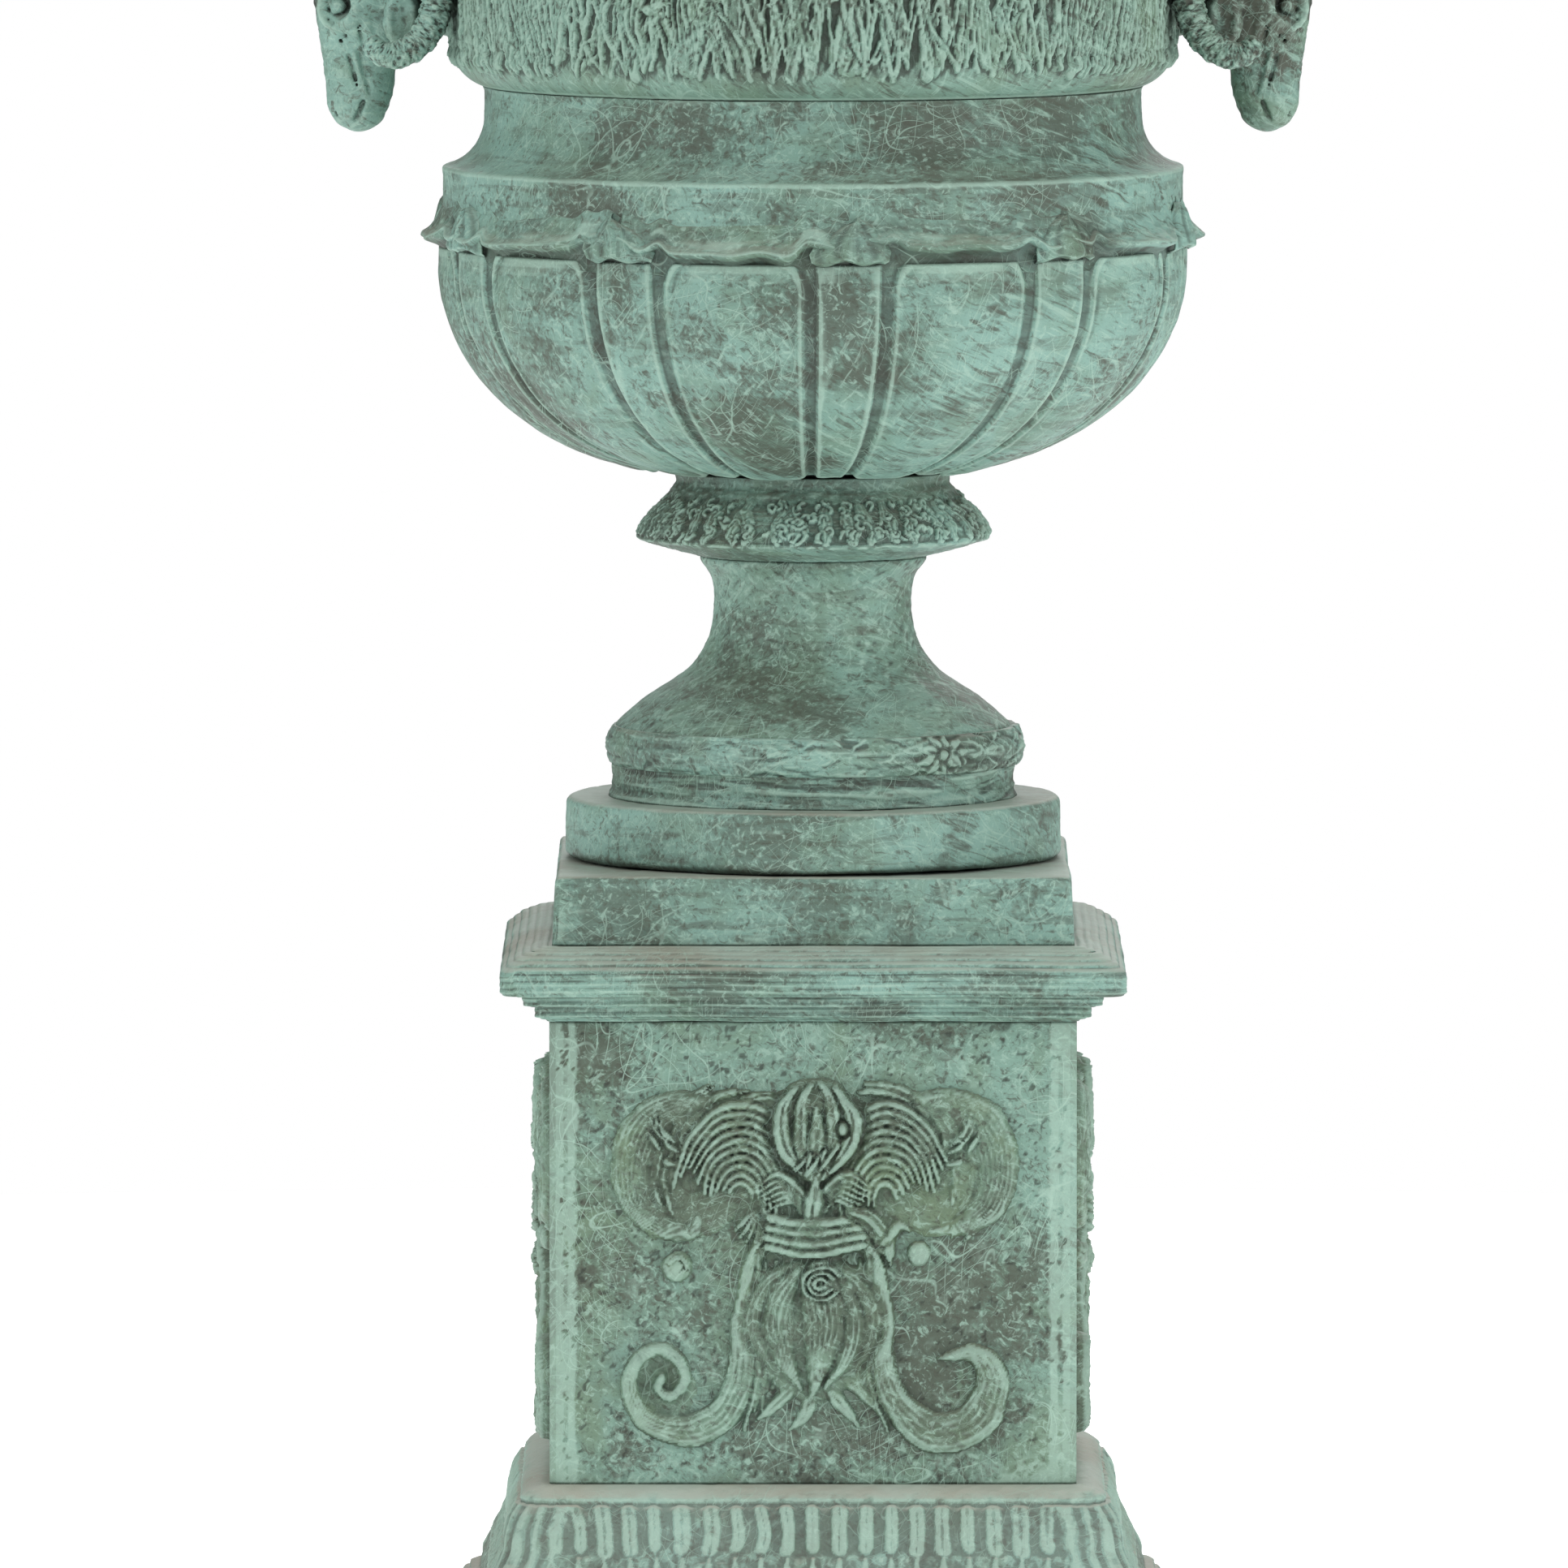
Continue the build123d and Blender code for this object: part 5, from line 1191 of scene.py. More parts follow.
def make_neck():
    z0, z1 = low("neck_shell"), top("neck_shell")
    outer = arc((0.246, z0), (0.252, z0 + 6.5 * MM), (0.245, z0 + 12.5 * MM), 14) + [(0.240, z0 + 13.5 * MM)]
    outer += arc((0.240, z0 + 15 * MM), (0.2432, z0 + 64 * MM), (0.2665, z1 - 1 * MM), 26) + [(0.268, z1)]
    outer = soften(outer, 1.5 * MM, 0.8 * MM)
    inner = [(0.228, z1), (0.228, z1 - 8 * MM), (0.256, z1 - 8 * MM), (0.235, z0 + 64 * MM),
             (0.232, z0 + 13 * MM),
             (0.232, z0 + 8 * MM), (0.212, z0 + 8 * MM), (0.212, z0)]

    def flow(angle, radius, height):
        t = (angle / tau + 0.5)
        row = np.exp(-(((height - z0 - 6.5 * MM) / (4.5 * MM)) ** 4))
        beads = 1.6 * MM * np.abs(np.sin(angle * 60)) ** 0.7 * row
        broad = 0.4 * MM * fractal(t * 18, height * 22, 111, 18, 3)
        return beads + broad + 0.15 * MM * fractal(t * 80, height * 400, 112, 80, 3)

    neck = turned("neck_visual", outer, inner, 960, flow, 3 * MM)
    place_piece(neck, urn_bronze, "urn", "verdigris_urn", "neck_shell")


def make_rim():
    r, z0, z1 = reach("rim_lip"), low("rim_lip"), top("rim_lip")
    outer = [(0.262, z0), (0.270, z0)] + arc((0.270, z0), (0.283, z0 + 9 * MM), (r - 1 * MM, z0 + 21 * MM),
                                             20)[1:]
    outer += [(r - 1 * MM, z0 + 22 * MM), (r, z0 + 24 * MM), (r, z1 - 4 * MM), (r - 4 * MM, z1),
              (r - 12 * MM, z1),
              (r - 26 * MM, z1 - 2 * MM), (0.240, z1 - 16 * MM), (0.229, z0 + 9 * MM)]
    outer = soften(outer, 1.3 * MM, 1.1 * MM)
    lengths = np.concatenate([[0], np.cumsum(np.hypot(*np.diff(outer, axis=0).T))])
    eggs = 54

    def egg_and_dart(angle, radius, height):
        s = lengths[:, None]
        place = (angle * eggs / tau + 0.5) % 1 - 0.5
        a = place * tau * 0.283 / eggs / (10.5 * MM)
        b = (s - 21 * MM) / (11.5 * MM)
        near = np.hypot(a, b * (1 - 0.15 * b))
        egg = 3.0 * MM * np.clip(1 - near**2, 0, 1) ** 0.5
        surround = 1.5 * MM * np.exp(-(((near - 1.28) / 0.13) ** 2))
        band = smoothstep(8 * MM, 11 * MM, s) * (1 - smoothstep(31 * MM, 34 * MM, s))
        t = (angle / tau + 0.5)
        return band * (egg + surround - 2.2 * MM) + 0.3 * MM * fractal(t * 40, s * 60, 121, 40, 3) - 0.3 * MM

    rim = turned("rim_visual", outer, [(0.228, z0 + 8 * MM), (0.228, z0)], 1000, egg_and_dart, 3 * MM)
    place_piece(rim, urn_bronze, "urn", "verdigris_urn", "rim_lip")


# Ram heads ----------------------------------------------------------------------------------------
def head_clay():
    """The ram's head hanging from the drum. Coordinates: outward from the urn's axis, sideways, up."""
    clay = Clay((230, -62, 1036), (342, 62, 1216), 1.2)
    # Skull, face and muzzle
    clay.ball((298, 0, 1166), (33, 32, 32))
    clay.ball((300, 0, 1140), (31, 29, 34), 10)
    clay.ball((292, 0, 1122), (25, 24, 26), 10)
    clay.limb((305, 0, 1128), (307, 0, 1066), 26, 18.5, 12)
    clay.limb((318, 0, 1142), (315, 0, 1068), 19, 11, 10, squash=(1, 1.05, 1))
    clay.limb((303, 0, 1076), (307, 0, 1060), 17, 15.5, 8, squash=(1.1, 1.15, 1))
    # Cheekbone and jaw line
    clay.limb((312, 22, 1122), (292, 22, 1146), 7, 9, 9)
    clay.limb((291, 14, 1100), (283, 14, 1140), 9, 13, 9)
    clay.limb((297, 6, 1070), (288, 8, 1106), 8, 9, 8)
    # Neck towards the drum
    clay.limb((286, 0, 1164), (236, 0, 1160), 31, 36, 14)
    clay.limb((276, 0, 1140), (236, 0, 1132), 22, 26, 14)
    # Brow, eye socket, eyeball, and rings of folds round the eye
    clay.limb((328, 12, 1146), (306, 27, 1150), 6.0, 6.5, 6)
    clay.ball((321, 24.5, 1130), (10, 7.0, 9.0), 3, carve=True)
    clay.ball((320.5, 17.5, 1130), (7.0, 7.6, 6.4), 1.0)
    clay.ring((320.5, 19.5, 1130), 9.6, 2.1, 1.5)
    clay.ring((319.5, 21.0, 1130), 12.6, 1.2, 1.5, carve=True)
    clay.ring((318.5, 20.5, 1129), 15.2, 2.0, 2.5)
    clay.ring((317.5, 21.5, 1128), 18.4, 1.1, 1.5, carve=True)
    # Nostrils, mouth and lips
    clay.limb((301.5, 19.2, 1071), (308.5, 17.5, 1053), 1.8, 2.4, 1.4, carve=True)
    clay.limb((306.0, 18.0, 1071), (312.5, 16.0, 1055), 2.2, 2.4, 2.5)
    clay.limb((313.5, 15.8, 1067), (321.5, 10.0, 1056), 1.3, 1.7, 1.4, carve=True)
    clay.limb((317, 11, 1049), (304, 15.5, 1047), 1.2, 1.4, 1.4, carve=True)
    clay.limb((326, 0, 1050), (317, 0, 1058), 1.2, 1.5, 2.0, carve=True)
    # Folds along the face
    clay.limb((309.5, 22.0, 1097), (302.5, 19.5, 1068), 2.0, 1.7, 1.8)
    clay.limb((305.5, 23.5, 1098), (299.0, 20.5, 1072), 1.5, 1.3, 1.4, carve=True)
    clay.limb((313.5, 20.5, 1096), (307.5, 19.5, 1076), 1.2, 1.1, 1.4, carve=True)
    clay.limb((302, 27.5, 1126), (297, 23.5, 1098), 2.6, 2.2, 2.5)
    clay.limb((307, 26.5, 1118), (303, 23.0, 1100), 1.3, 1.2, 1.4, carve=True)
    clay.limb((318, 19.0, 1106), (324, 13.0, 1110), 1.0, 1.0, 1.4, carve=True)
    clay.limb((317, 18.0, 1100), (323, 12.0, 1103), 0.9, 0.9, 1.4, carve=True)
    # Ears, hanging inside the horns' curl
    clay.ball((277, 35, 1122), (13, 9, 21), 4)
    clay.ball((277, 44.5, 1121), (9, 5, 16), 2, carve=True)
    # Horn roots
    clay.limb((296, 20, 1180), (288, 38, 1186), 13, 14, 5)
    return clay


def curl(centre, outward, size, turns, start, radius):
    """A lock of wool: a bar wound in a small spiral on a tangent plane."""
    outward = np.array(outward, float)
    outward /= np.linalg.norm(outward)
    side = np.cross(outward, (0.1, 0.2, 1.0))
    side /= np.linalg.norm(side)
    up = np.cross(outward, side)
    s = np.linspace(0, 1, 22)
    swing = start + turns * tau * s
    extent = size * (1 - 0.78 * s)
    path = (
        np.array(centre)
        + (extent * np.cos(swing))[:, None] * side
        + (extent * np.sin(swing))[:, None] * up
        + (s * size * 0.55)[:, None] * outward
    )
    return tube(path, (0.5 * radius, radius, radius, 0.5 * radius), 8)


def make_head_parts():
    """Vertices, faces and tone of one head on the right-hand side, with its wool."""
    clay = head_clay()
    x, y, z = np.moveaxis(clay.grid, -1, 0)
    rough = 0.55 * fractal(x / 7 + 0.3 * z, z / 9 + 0.25 * y, 131, 0, 3)
    hair = fractal(x / 3.2, z / 14 + y / 9, 132, 0, 3)
    field = clay.field + rough * 0.8 + 0.5 * hair * smoothstep(1090, 1150, z)
    drum_r = reach("frieze_drum") / MM - 4
    field = np.maximum(field, drum_r - np.hypot(x, y))
    points, quads = surface_net(field, clay.origin, clay.step)
    # Tone for painted shade in hollows and painted highlight on ridges: sample the unsmoothed field's change
    # of depth round each vertex
    cell = np.clip(((points - clay.origin) / clay.step).round().astype(int), 6, np.array(field.shape) - 7)
    total = np.zeros(len(points))
    for axis in range(3):
        for k in (-5, -3, 3, 5):
            move = cell.copy()
            move[:, axis] += k
            total += clay.field[tuple(move.T)]
    middle = total / 12
    tone = np.clip((middle - np.median(middle)) / 2.2, -1, 1)
    parts = [(points * MM, quads, tone)]
    rng = np.random.default_rng(29)
    for k in range(64):
        a = rng.uniform(0, tau)
        b = rng.uniform(0.15, 1.0)
        outward = np.array([0.35 + 0.5 * cos(a) * b, sin(a) * b, 0.9])
        outward /= np.linalg.norm(outward)
        c = np.array([294.0, 0.0, 1160.0]) + outward * np.array([33.0, 30.0, 35.0])
        if c[0] > 326 or abs(c[1]) > 28:
            continue
        parts.append(curl(c * MM, outward, rng.uniform(4.5, 6.5) * MM, rng.uniform(1.2, 1.7),
                          rng.uniform(0, tau), 1.9 * MM))
    for side in (-1, 1):
        for k in range(46):
            o = rng.uniform(238, 282)
            start_z = rng.uniform(1150, 1190) - 0.25 * (282 - o)
            length = rng.uniform(24, start_z - 1112)
            n = 7
            s = np.linspace(0, 1, n)
            zz = start_z - length * s
            bulge = 35.0 * np.sqrt(np.clip(1 - ((zz - 1158) / 44) ** 2, 0.02, 1)) + 1.5
            oo = o + np.cumsum(rng.normal(0, 1.3, n)) - 4 * s
            path = spline(np.column_stack([oo, side * bulge, zz]) * MM, 4)
            w = rng.uniform(1.8, 2.6) * MM
            parts.append(tube(path, (0.5 * w, w, w, 0.9 * w, 0.3 * w), 8))
    return parts


def horn_parts(depth_sign, seed):
    """A ridged horn on the right-hand side, curling back, down and forward to a blunt tip."""
    plan = [(300, 26, 1183), (284, 34, 1191), (266, 42, 1184), (254, 49, 1166), (251.5, 54, 1143),
            (256, 58, 1122),
            (266, 61, 1106), (280, 63, 1098.5), (292, 63.5, 1100.5), (300, 62.5, 1109)]
    path = spline(np.array(plan) * (1, depth_sign, 1) * MM, 16)
    knots = np.linspace(0, 1, len(path))
    path = np.column_stack([np.interp(np.linspace(0, 1, 320), knots, path[:, i]) for i in range(3)])
    radii = np.array([14.5, 15.0, 15.0, 14.6, 14.0, 13.2, 12.2, 11.2, 10.0, 8.8, 8.0, 4.0]) * MM
    ends = np.linspace(0, 1, 320)
    radii = 0.84 * np.interp(ends, [0, 0.1, 0.22, 0.34, 0.46, 0.58, 0.68, 0.78, 0.88, 0.95, 0.985, 1.0],
                             radii)

    def rings(along, swing):
        pitch = 4.2 * MM
        wander = 0.8 * lattice_noise(swing / tau * 6, along * 60, seed, 6)
        phase = along / pitch + wander
        ridge = np.abs(np.sin(pi * phase)) ** 0.7
        knobs = fractal(swing / tau * 12, along * 420, seed + 1, 12, 3)
        worn = 0.65 + 0.5 * lattice_noise(swing / tau * 5, along * 90, seed + 2, 5)
        return (0.85 * ridge * worn - 0.8 + 1.1 * knobs) * MM

    return tube(path, radii, 56, rings)


def turned_over(part, sign):
    """The part itself for the right-hand side, or its mirror image for the left."""
    vertices, quads, tone = part
    if sign > 0:
        return part
    return vertices * (-1, 1, 1), quads[:, ::-1], tone


def make_rams():
    head = make_head_parts()
    for side, sign in (("left", -1), ("right", 1)):
        obj = joined(f"{side}_ram_head_visual", [turned_over(p, sign) for p in head])
        place_piece(obj, ram_bronze, "urn", "verdigris_ram", f"{side}_ram_head")
        for place, depth in (("front", -1), ("back", 1)):
            part = horn_parts(depth, 140 + depth)
            horn = joined(f"{side}_ram_{place}_horn_visual", [turned_over(part, sign)])
            place_piece(horn, ram_bronze, "urn", "verdigris_ram", f"{side}_ram_{place}_horn")


# Pedestal -----------------------------------------------------------------------------------------
def make_cap():
    z0, z1, foot = low("cap_plinth"), top("cap_plinth"), reach("cap_plinth")
    head = foot - 2.5 * MM
    outer = soften([(foot, z0), (head, z1 - 2.5 * MM), (head - 2.2 * MM, z1), (head - 40 * MM, z1)],
                   1.5 * MM, 0.8 * MM)
    inner = [(61.5 * MM, z1, 1), (61.5 * MM, z1 - 10 * MM, 1), (head - 8 * MM, z1 - 10 * MM),
             (head - 8 * MM, z0 + 8 * MM),
             (145 * MM, z0 + 8 * MM), (145 * MM, z0)]

    def wavy(along, side, half, height, turn):
        t = side * 3.1 + along * 9
        return 0.7 * MM * fractal(t, height * 18, 151, 0, 3) + 0.15 * MM * fractal(t * 9, height * 300, 152,
                                                                                   0, 3)

    cap = square_ring("cap_visual", outer, inner, lambda h, z: 3 * MM, 2.2 * MM, wavy)
    place_piece(cap, square_bronze, "pedestal", "verdigris_pedestal", "cap_plinth")


def make_cornice():
    z0, z1, half = low("cornice"), top("cornice"), reach("cornice")
    shaft = reach("shaft_panel_right")
    outer = [(shaft, z0), (shaft + 3 * MM, z0 + 1.5 * MM), (186.5 * MM, z0 + 4 * MM),
             (186.5 * MM, z0 + 10.5 * MM),
             (194 * MM, z0 + 12 * MM), (195 * MM, z0 + 18.5 * MM), (208 * MM, z0 + 19.5 * MM),
             (half, z0 + 22 * MM),
             (half, z0 + 33.5 * MM)]
    slope = arc((half, z0 + 34.5 * MM), (194.5 * MM, z0 + 46.3 * MM), (175.5 * MM, z1), 30)
    outer = resample(np.vstack([outer, slope]), 0.9 * MM)
    lengths = np.concatenate([[0], np.cumsum(np.hypot(*np.diff(outer, axis=0).T))])
    slope_at = lengths[np.argmax(outer[:, 1] > z0 + 34 * MM)]
    inner = [(145 * MM, z1), (145 * MM, z1 - 8 * MM), (shaft, z1 - 8 * MM), (195 * MM, z0 + 30 * MM),
             (195 * MM, z0 + 28 * MM), (shaft, z0 + 20 * MM), (shaft, z0 + 8 * MM), (118 * MM, z0 + 8 * MM),
             (118 * MM, z0)]

    def ridges(along, side, half_side, height, turn):
        s = lengths[:, None]
        wobble = 0.9 * MM * lattice_noise(along * 11 + side * 7.7, 0 * s + 1.0, 161)
        on_slope = smoothstep(slope_at - 1 * MM, slope_at + 1 * MM, s)
        beads = np.abs(np.sin(pi * (s - slope_at + wobble) / (6.4 * MM))) ** 0.6 - 0.75
        lines = np.sin(tau * (s + wobble) / (4.6 * MM)) * (1 - on_slope)
        wear = fractal(along * 24 + side * 5.1, s * 120, 162, 0, 3)
        return (1.15 * beads * on_slope + 0.28 * lines) * MM + 0.35 * MM * wear

    cornice = square_ring("cornice_visual", outer, inner, lambda h, z: 9 * MM if h > 0.19 else 4 * MM,
                          2.0 * MM, ridges)
    place_piece(cornice, square_bronze, "pedestal", "verdigris_pedestal", "cornice")


def on_side(turn, u, out, v):
    """Points on a side of the shaft from place along it, distance from the axis and height."""
    c, s = cos(turn), sin(turn)
    return np.stack([u * c + out * s, u * s - out * c, v], axis=-1)


SIDES = {"front": 0.0, "right": pi / 2, "back": pi, "left": 3 * pi / 2}


def make_panels():
    z0, z1 = low("shaft_panel_front"), top("shaft_panel_front")
    half = reach("shaft_panel_right")
    for k, (side, turn) in enumerate(SIDES.items()):
        laps = side in ("front", "back")
        width = half if laps else half - 8 * MM
        u = np.linspace(-width, width, 180)
        v = np.linspace(z0, z1, 158)
        uu, vv = np.meshgrid(u, v)
        pits = fractal(uu * 260 + 40, vv * 260, 171 + k, 0, 3)
        dents = fractal(uu * 22 + 9, vv * 22, 175 + k, 0, 3)
        out = half + 0.32 * MM * np.minimum(dents, 0.5) - 0.35 * MM * np.clip(pits - 0.35, 0, 1) - 0.25 * MM
        if laps:
            bevel = 3.4 * MM
            out -= np.clip(np.abs(uu) - (half - bevel), 0, bevel) * 0.95
            chip = np.hypot((uu - 157 * MM) / (20 * MM), (vv - z0) / (17 * MM))
            chip = chip + 0.25 * fractal(uu * 160, vv * 160, 181, 0, 3)
            if side == "front":
                out -= 0.35 * MM * (1 - smoothstep(0.8, 1.1, chip))
        out = np.minimum(out, half)
        rows, columns = uu.shape
        front = on_side(turn, uu, out, vv).reshape(-1, 3)
        back = on_side(turn, uu, 0 * uu + half - 8 * MM, vv).reshape(-1, 3)
        tone = hollows(out, 1.5 * MM)
        if side == "front":
            tone += 0.9 * (1 - smoothstep(0.8, 1.05, chip))
        # The front and back panels' bevelled edges get a painted highlight through their tone
        tone[:, [0, 1, 2, -3, -2, -1]] = 0.5 if laps else 0.0
        vertices, quads, tones = sheet_solid(front, back, grid_quads(rows, columns), tone.ravel())
        panel = mesh_object(f"panel_{side}_visual", vertices, quads, tones)
        place_piece(panel, panel_bronze, "pedestal", "verdigris_pedestal", f"shaft_panel_{side}")


def sheet_solid(front, back, quads, tone):
    """A closed solid between two sets of points that share their faces; unused points are dropped."""
    edges = np.vstack([quads[:, [i, (i + 1) % 4]] for i in range(4)])
    count = len(front)
    keys = edges[:, 0].astype(np.int64) * count + edges[:, 1]
    back_keys = edges[:, 1].astype(np.int64) * count + edges[:, 0]
    rim = edges[~np.isin(keys, back_keys)]
    wall = np.stack([rim[:, 1], rim[:, 0], rim[:, 0] + count, rim[:, 1] + count], axis=1)
    faces = np.vstack([quads, quads[:, ::-1] + count, wall])
    vertices = np.vstack([front, back])
    # The back is painted in shade through its tone, which also darkens the side walls towards the back
    tones = np.concatenate([tone, np.full(count, -0.5)])
    used = np.unique(faces)
    number = np.full(2 * count, -1)
    number[used] = np.arange(len(used))
    return vertices[used], number[faces], tones[used]


# Relief ornament on the shaft. Lines are (place from the middle, height) in millimetres.
def mm_line(points):
    return [(a * MM, b * MM) for a, b in points]


def fan(carving, centre, sign, count, inner, outer, from_angle, to_angle, rise):
    """Nested arching strands of a plume, from the smallest to the largest."""
    for k in range(count):
        s = k / (count - 1)
        a, b = inner[0] + s * (outer[0] - inner[0]), inner[1] + s * (outer[1] - inner[1])
        ragged = 0.16 * sin(7.3 * k + 2 * sign)
        swings = np.linspace(from_angle - ragged, to_angle - 0.25 * s + 1.6 * ragged, 7)
        points = [((sign * (centre[0] + a * cos(w)) * MM), (centre[1] + b * sin(w)) * MM) for w in swings]
        w = (outer[0] - inner[0]) / (count - 1) * 0.66 * MM
        carving.stroke(points, (0.6 * w, w, 1.1 * w, w, 0.35 * w), (rise + 1.5 * sin(3 * s)) * MM,
                       floor=0.5, gap=0.25)


def draw_relief(carving):
    def stroke(points, width, rise, **more):
        rises = rise * MM if np.isscalar(rise) else [r * MM for r in rise]
        carving.stroke(mm_line(points), [w * MM for w in width], rises, **more)

    rng = np.random.default_rng(37)
    # Low soft ground that the leaves grow out of
    for centre, size, rise in (((0, 250), (40, 52), 4.6), ((0, 334), (60, 30), 5.0),
                               ((0, 380), (48, 34), 4.6),
                               ((-82, 356), (42, 46), 4.2), ((82, 356), (42, 46), 4.2),
                               ((-105, 205), (26, 26), 2.2)):
        carving.dome((centre[0] * MM, centre[1] * MM), (size[0] * MM, size[1] * MM), rise * MM, crown=0.3)
    # Small leaves between the plumes and the crescents, and threads beside the husk
    for sign in (-1, 1):
        for k in range(46):
            swing, radius = rng.uniform(-0.5, 2.5), rng.uniform(44, 66)
            span = rng.uniform(0.25, 0.6)
            ways = np.linspace(swing, swing + span, 4)
            lift = np.linspace(0, rng.uniform(2, 9), 4)
            points = [(sign * (49 + (radius + d) * cos(a)), 336 + (radius * 1.15 + d) * sin(a)) for a,
                      d in zip(ways, lift)]
            w = rng.uniform(1.6, 3.2)
            stroke(points, (0.4 * w, w, 0.9 * w, 0.2 * w), rng.uniform(5.5, 8.0), rib=0.2, floor=0.45,
                   gap=0.35)
        for k in range(26):
            u0, v0 = sign * rng.uniform(20, 46), rng.uniform(240, 300)
            w = rng.uniform(1.2, 2.4)
            length = rng.uniform(25, 60)
            points = [(u0, v0), (u0 + rng.uniform(-3, 3), v0 - 0.5 * length),
                      (u0 + rng.uniform(-5, 5), max(v0 - length, 190))]
            stroke(points, (0.5 * w, w, 0.2 * w), rng.uniform(5.0, 7.5), floor=0.45, gap=0.35)
    # Stems that run down from the binding and end in volutes: a full spiral and a crescent
    stroke([(-27, 318), (-41, 292), (-47, 262), (-47, 228), (-51, 207), (-63, 189), (-88, 179), (-112, 187),
            (-124, 207),
            (-119, 226), (-103, 234), (-89, 227), (-86, 213), (-95, 204), (-104, 209), (-101, 216)],
           (4, 5, 6.5, 7, 8, 9.5, 10.5, 10.5, 9.5, 8, 6.5, 5, 4.2, 3.6, 3.4, 3), 10.5, strands=5,
           depth=0.18, floor=0.5, gap=0.3)
    stroke([(31, 318), (42, 292), (47, 262), (47, 228), (52, 204), (66, 186), (86, 178), (106, 184),
            (119, 203), (118, 222),
            (104, 233), (84, 228)],
           (4, 5, 6.5, 7, 8, 10, 12, 13.5, 13.5, 11, 6.5, 0.6), 11, strands=5, depth=0.14, floor=0.5, gap=0.3)
    stroke([(-36, 300), (-39, 262), (-38, 226), (-41, 200), (-47, 180)], (2, 3, 3, 2.4, 0.6), 7.5, floor=0.4)
    stroke([(38, 296), (38, 262), (37, 226), (41, 200), (49, 178)], (2, 3, 3, 2.4, 0.6), 7.5, floor=0.4)
    # Leaf scraps under the husk
    for points in ([(-8, 214), (-22, 200), (-38, 186)], [(2, 208), (-4, 192), (-16, 180)],
                   [(10, 208), (20, 196), (30, 182)],
                   [(18, 216), (32, 206), (42, 192)]):
        stroke(points, (2, 5, 4, 0.5), 6, rib=0.3, floor=0.45)
    # Husk of overlapping leaves that hangs from the binding
    for sign in (-1, 1):
        stroke([(sign * 8, 292), (sign * 33, 268), (sign * 34, 240), (sign * 14, 214)], (4, 11, 12, 8, 1),
               8.5, strands=6,
               depth=0.26, floor=0.45)
        stroke([(sign * 6, 290), (sign * 22, 264), (sign * 22, 236), (sign * 8, 206)], (4, 9, 10, 7, 1), 10,
               strands=5,
               depth=0.26, floor=0.45)
    stroke([(4, 292), (6, 260), (4, 230), (0, 200)], (7, 14, 13, 8, 1), 12, strands=7, depth=0.24, floor=0.45)
    for k, (a, b) in enumerate(((7, 279), (7, 279), (6, 279))):
        size = (13, 8.5, 4)[k]
        ring = [(a + size * cos(w), b + 0.9 * size * sin(w)) for w in np.linspace(0.4, 5.6, 9)]
        stroke(ring, (1.6, 2.0, 1.4), 12.5 + 0.4 * k, floor=0.5, gap=0.6)
    # Outer crescents that curl down and in round the plumes
    stroke([(-70, 402), (-97, 397), (-117, 380), (-123, 355), (-117, 331), (-100, 316), (-82, 314),
            (-78, 324)],
           (3, 9, 13.5, 14.5, 13, 10, 7, 3), (7, 8, 9, 9, 9, 8), strands=8, depth=0.26, floor=0.35, gap=0.2)
    stroke([(68, 404), (96, 400), (117, 383), (124, 356), (117, 331), (98, 317), (80, 314)],
           (3, 9, 13, 13.5, 12, 8, 1), (7, 8, 9, 9, 9, 8), strands=8, depth=0.26, floor=0.35, gap=0.2)
    for sign in (-1, 1):
        for k in range(6):
            w = 2.35 - 0.42 * k
            start = (sign * (98 - 9 * cos(w)), 352 + 24 * sin(w))
            stroke([start, (sign * (101 + 10 * cos(w) * -0.6 + 4), 352 + 34 * sin(w)),
                    (sign * (106 + 9 * cos(pi - w)), 352 + 44 * sin(w) * 0.95)], (1.2, 2.4, 0.6), 9.5,
                   floor=0.35)
    # Small tuft below each plume
    for sign in (-1, 1):
        for k in range(6):
            a = -2.5 + 0.27 * k
            stroke([(sign * 34, 330), (sign * (34 - 12 * cos(a)), 330 + 13 * sin(a)),
                    (sign * (34 - 19 * cos(a) + 3), 330 + 25 * sin(a))],
                   (2.2, 2.8, 0.8), 8.5, floor=0.4)
    # The plumes
    for sign in (-1, 1):
        fan(carving, (49, 336), sign, 10, (8, 11), (44, 63), 0.25, 3.35, 9.5)
    # Berries
    for place, size in (((-92, 290), 10), ((72, 299), 8)):
        carving.dome((place[0] * MM, place[1] * MM), (size * MM, size * MM), 8 * MM)
    stroke([(-98, 292), (-92, 297), (-86, 291), (-90, 285)], (1.2, 1.5, 1.2), 9.5, floor=0.5)
    # Bud
    carving.dome((2 * MM, 384 * MM), (31 * MM, 34 * MM), 9.5 * MM, crown=0.4)
    for points, w in (([(-4, 352), (-20, 372), (-22, 396), (-12, 410)], 6.5),
                      ([(8, 352), (25, 372), (27, 394), (15, 411)], 6.5),
                      ([(-2, 350), (-9, 376), (-7, 400), (0, 414)], 6),
                      ([(6, 350), (13, 376), (13, 400), (6, 414)], 6),
                      ([(2, 346), (2, 372), (3, 396)], 7)):
        stroke(points, (0.5 * w, w, 0.9 * w, 0.3 * w), 13, rib=0.25, floor=0.55, gap=0.25)
    carving.dome((21 * MM, 383 * MM), (5 * MM, 6 * MM), 14 * MM)
    zigzag = [(-12, 356), (-2, 366), (-4, 352), (8, 368), (6, 356), (18, 372)]
    for (a, b), (c, d) in zip(zigzag, zigzag[1:]):
        stroke([(a, b), ((a + c) / 2, (b + d) / 2), (c, d)], (1.8, 2.2, 1.8), 14.2, floor=0.6, gap=0.6)
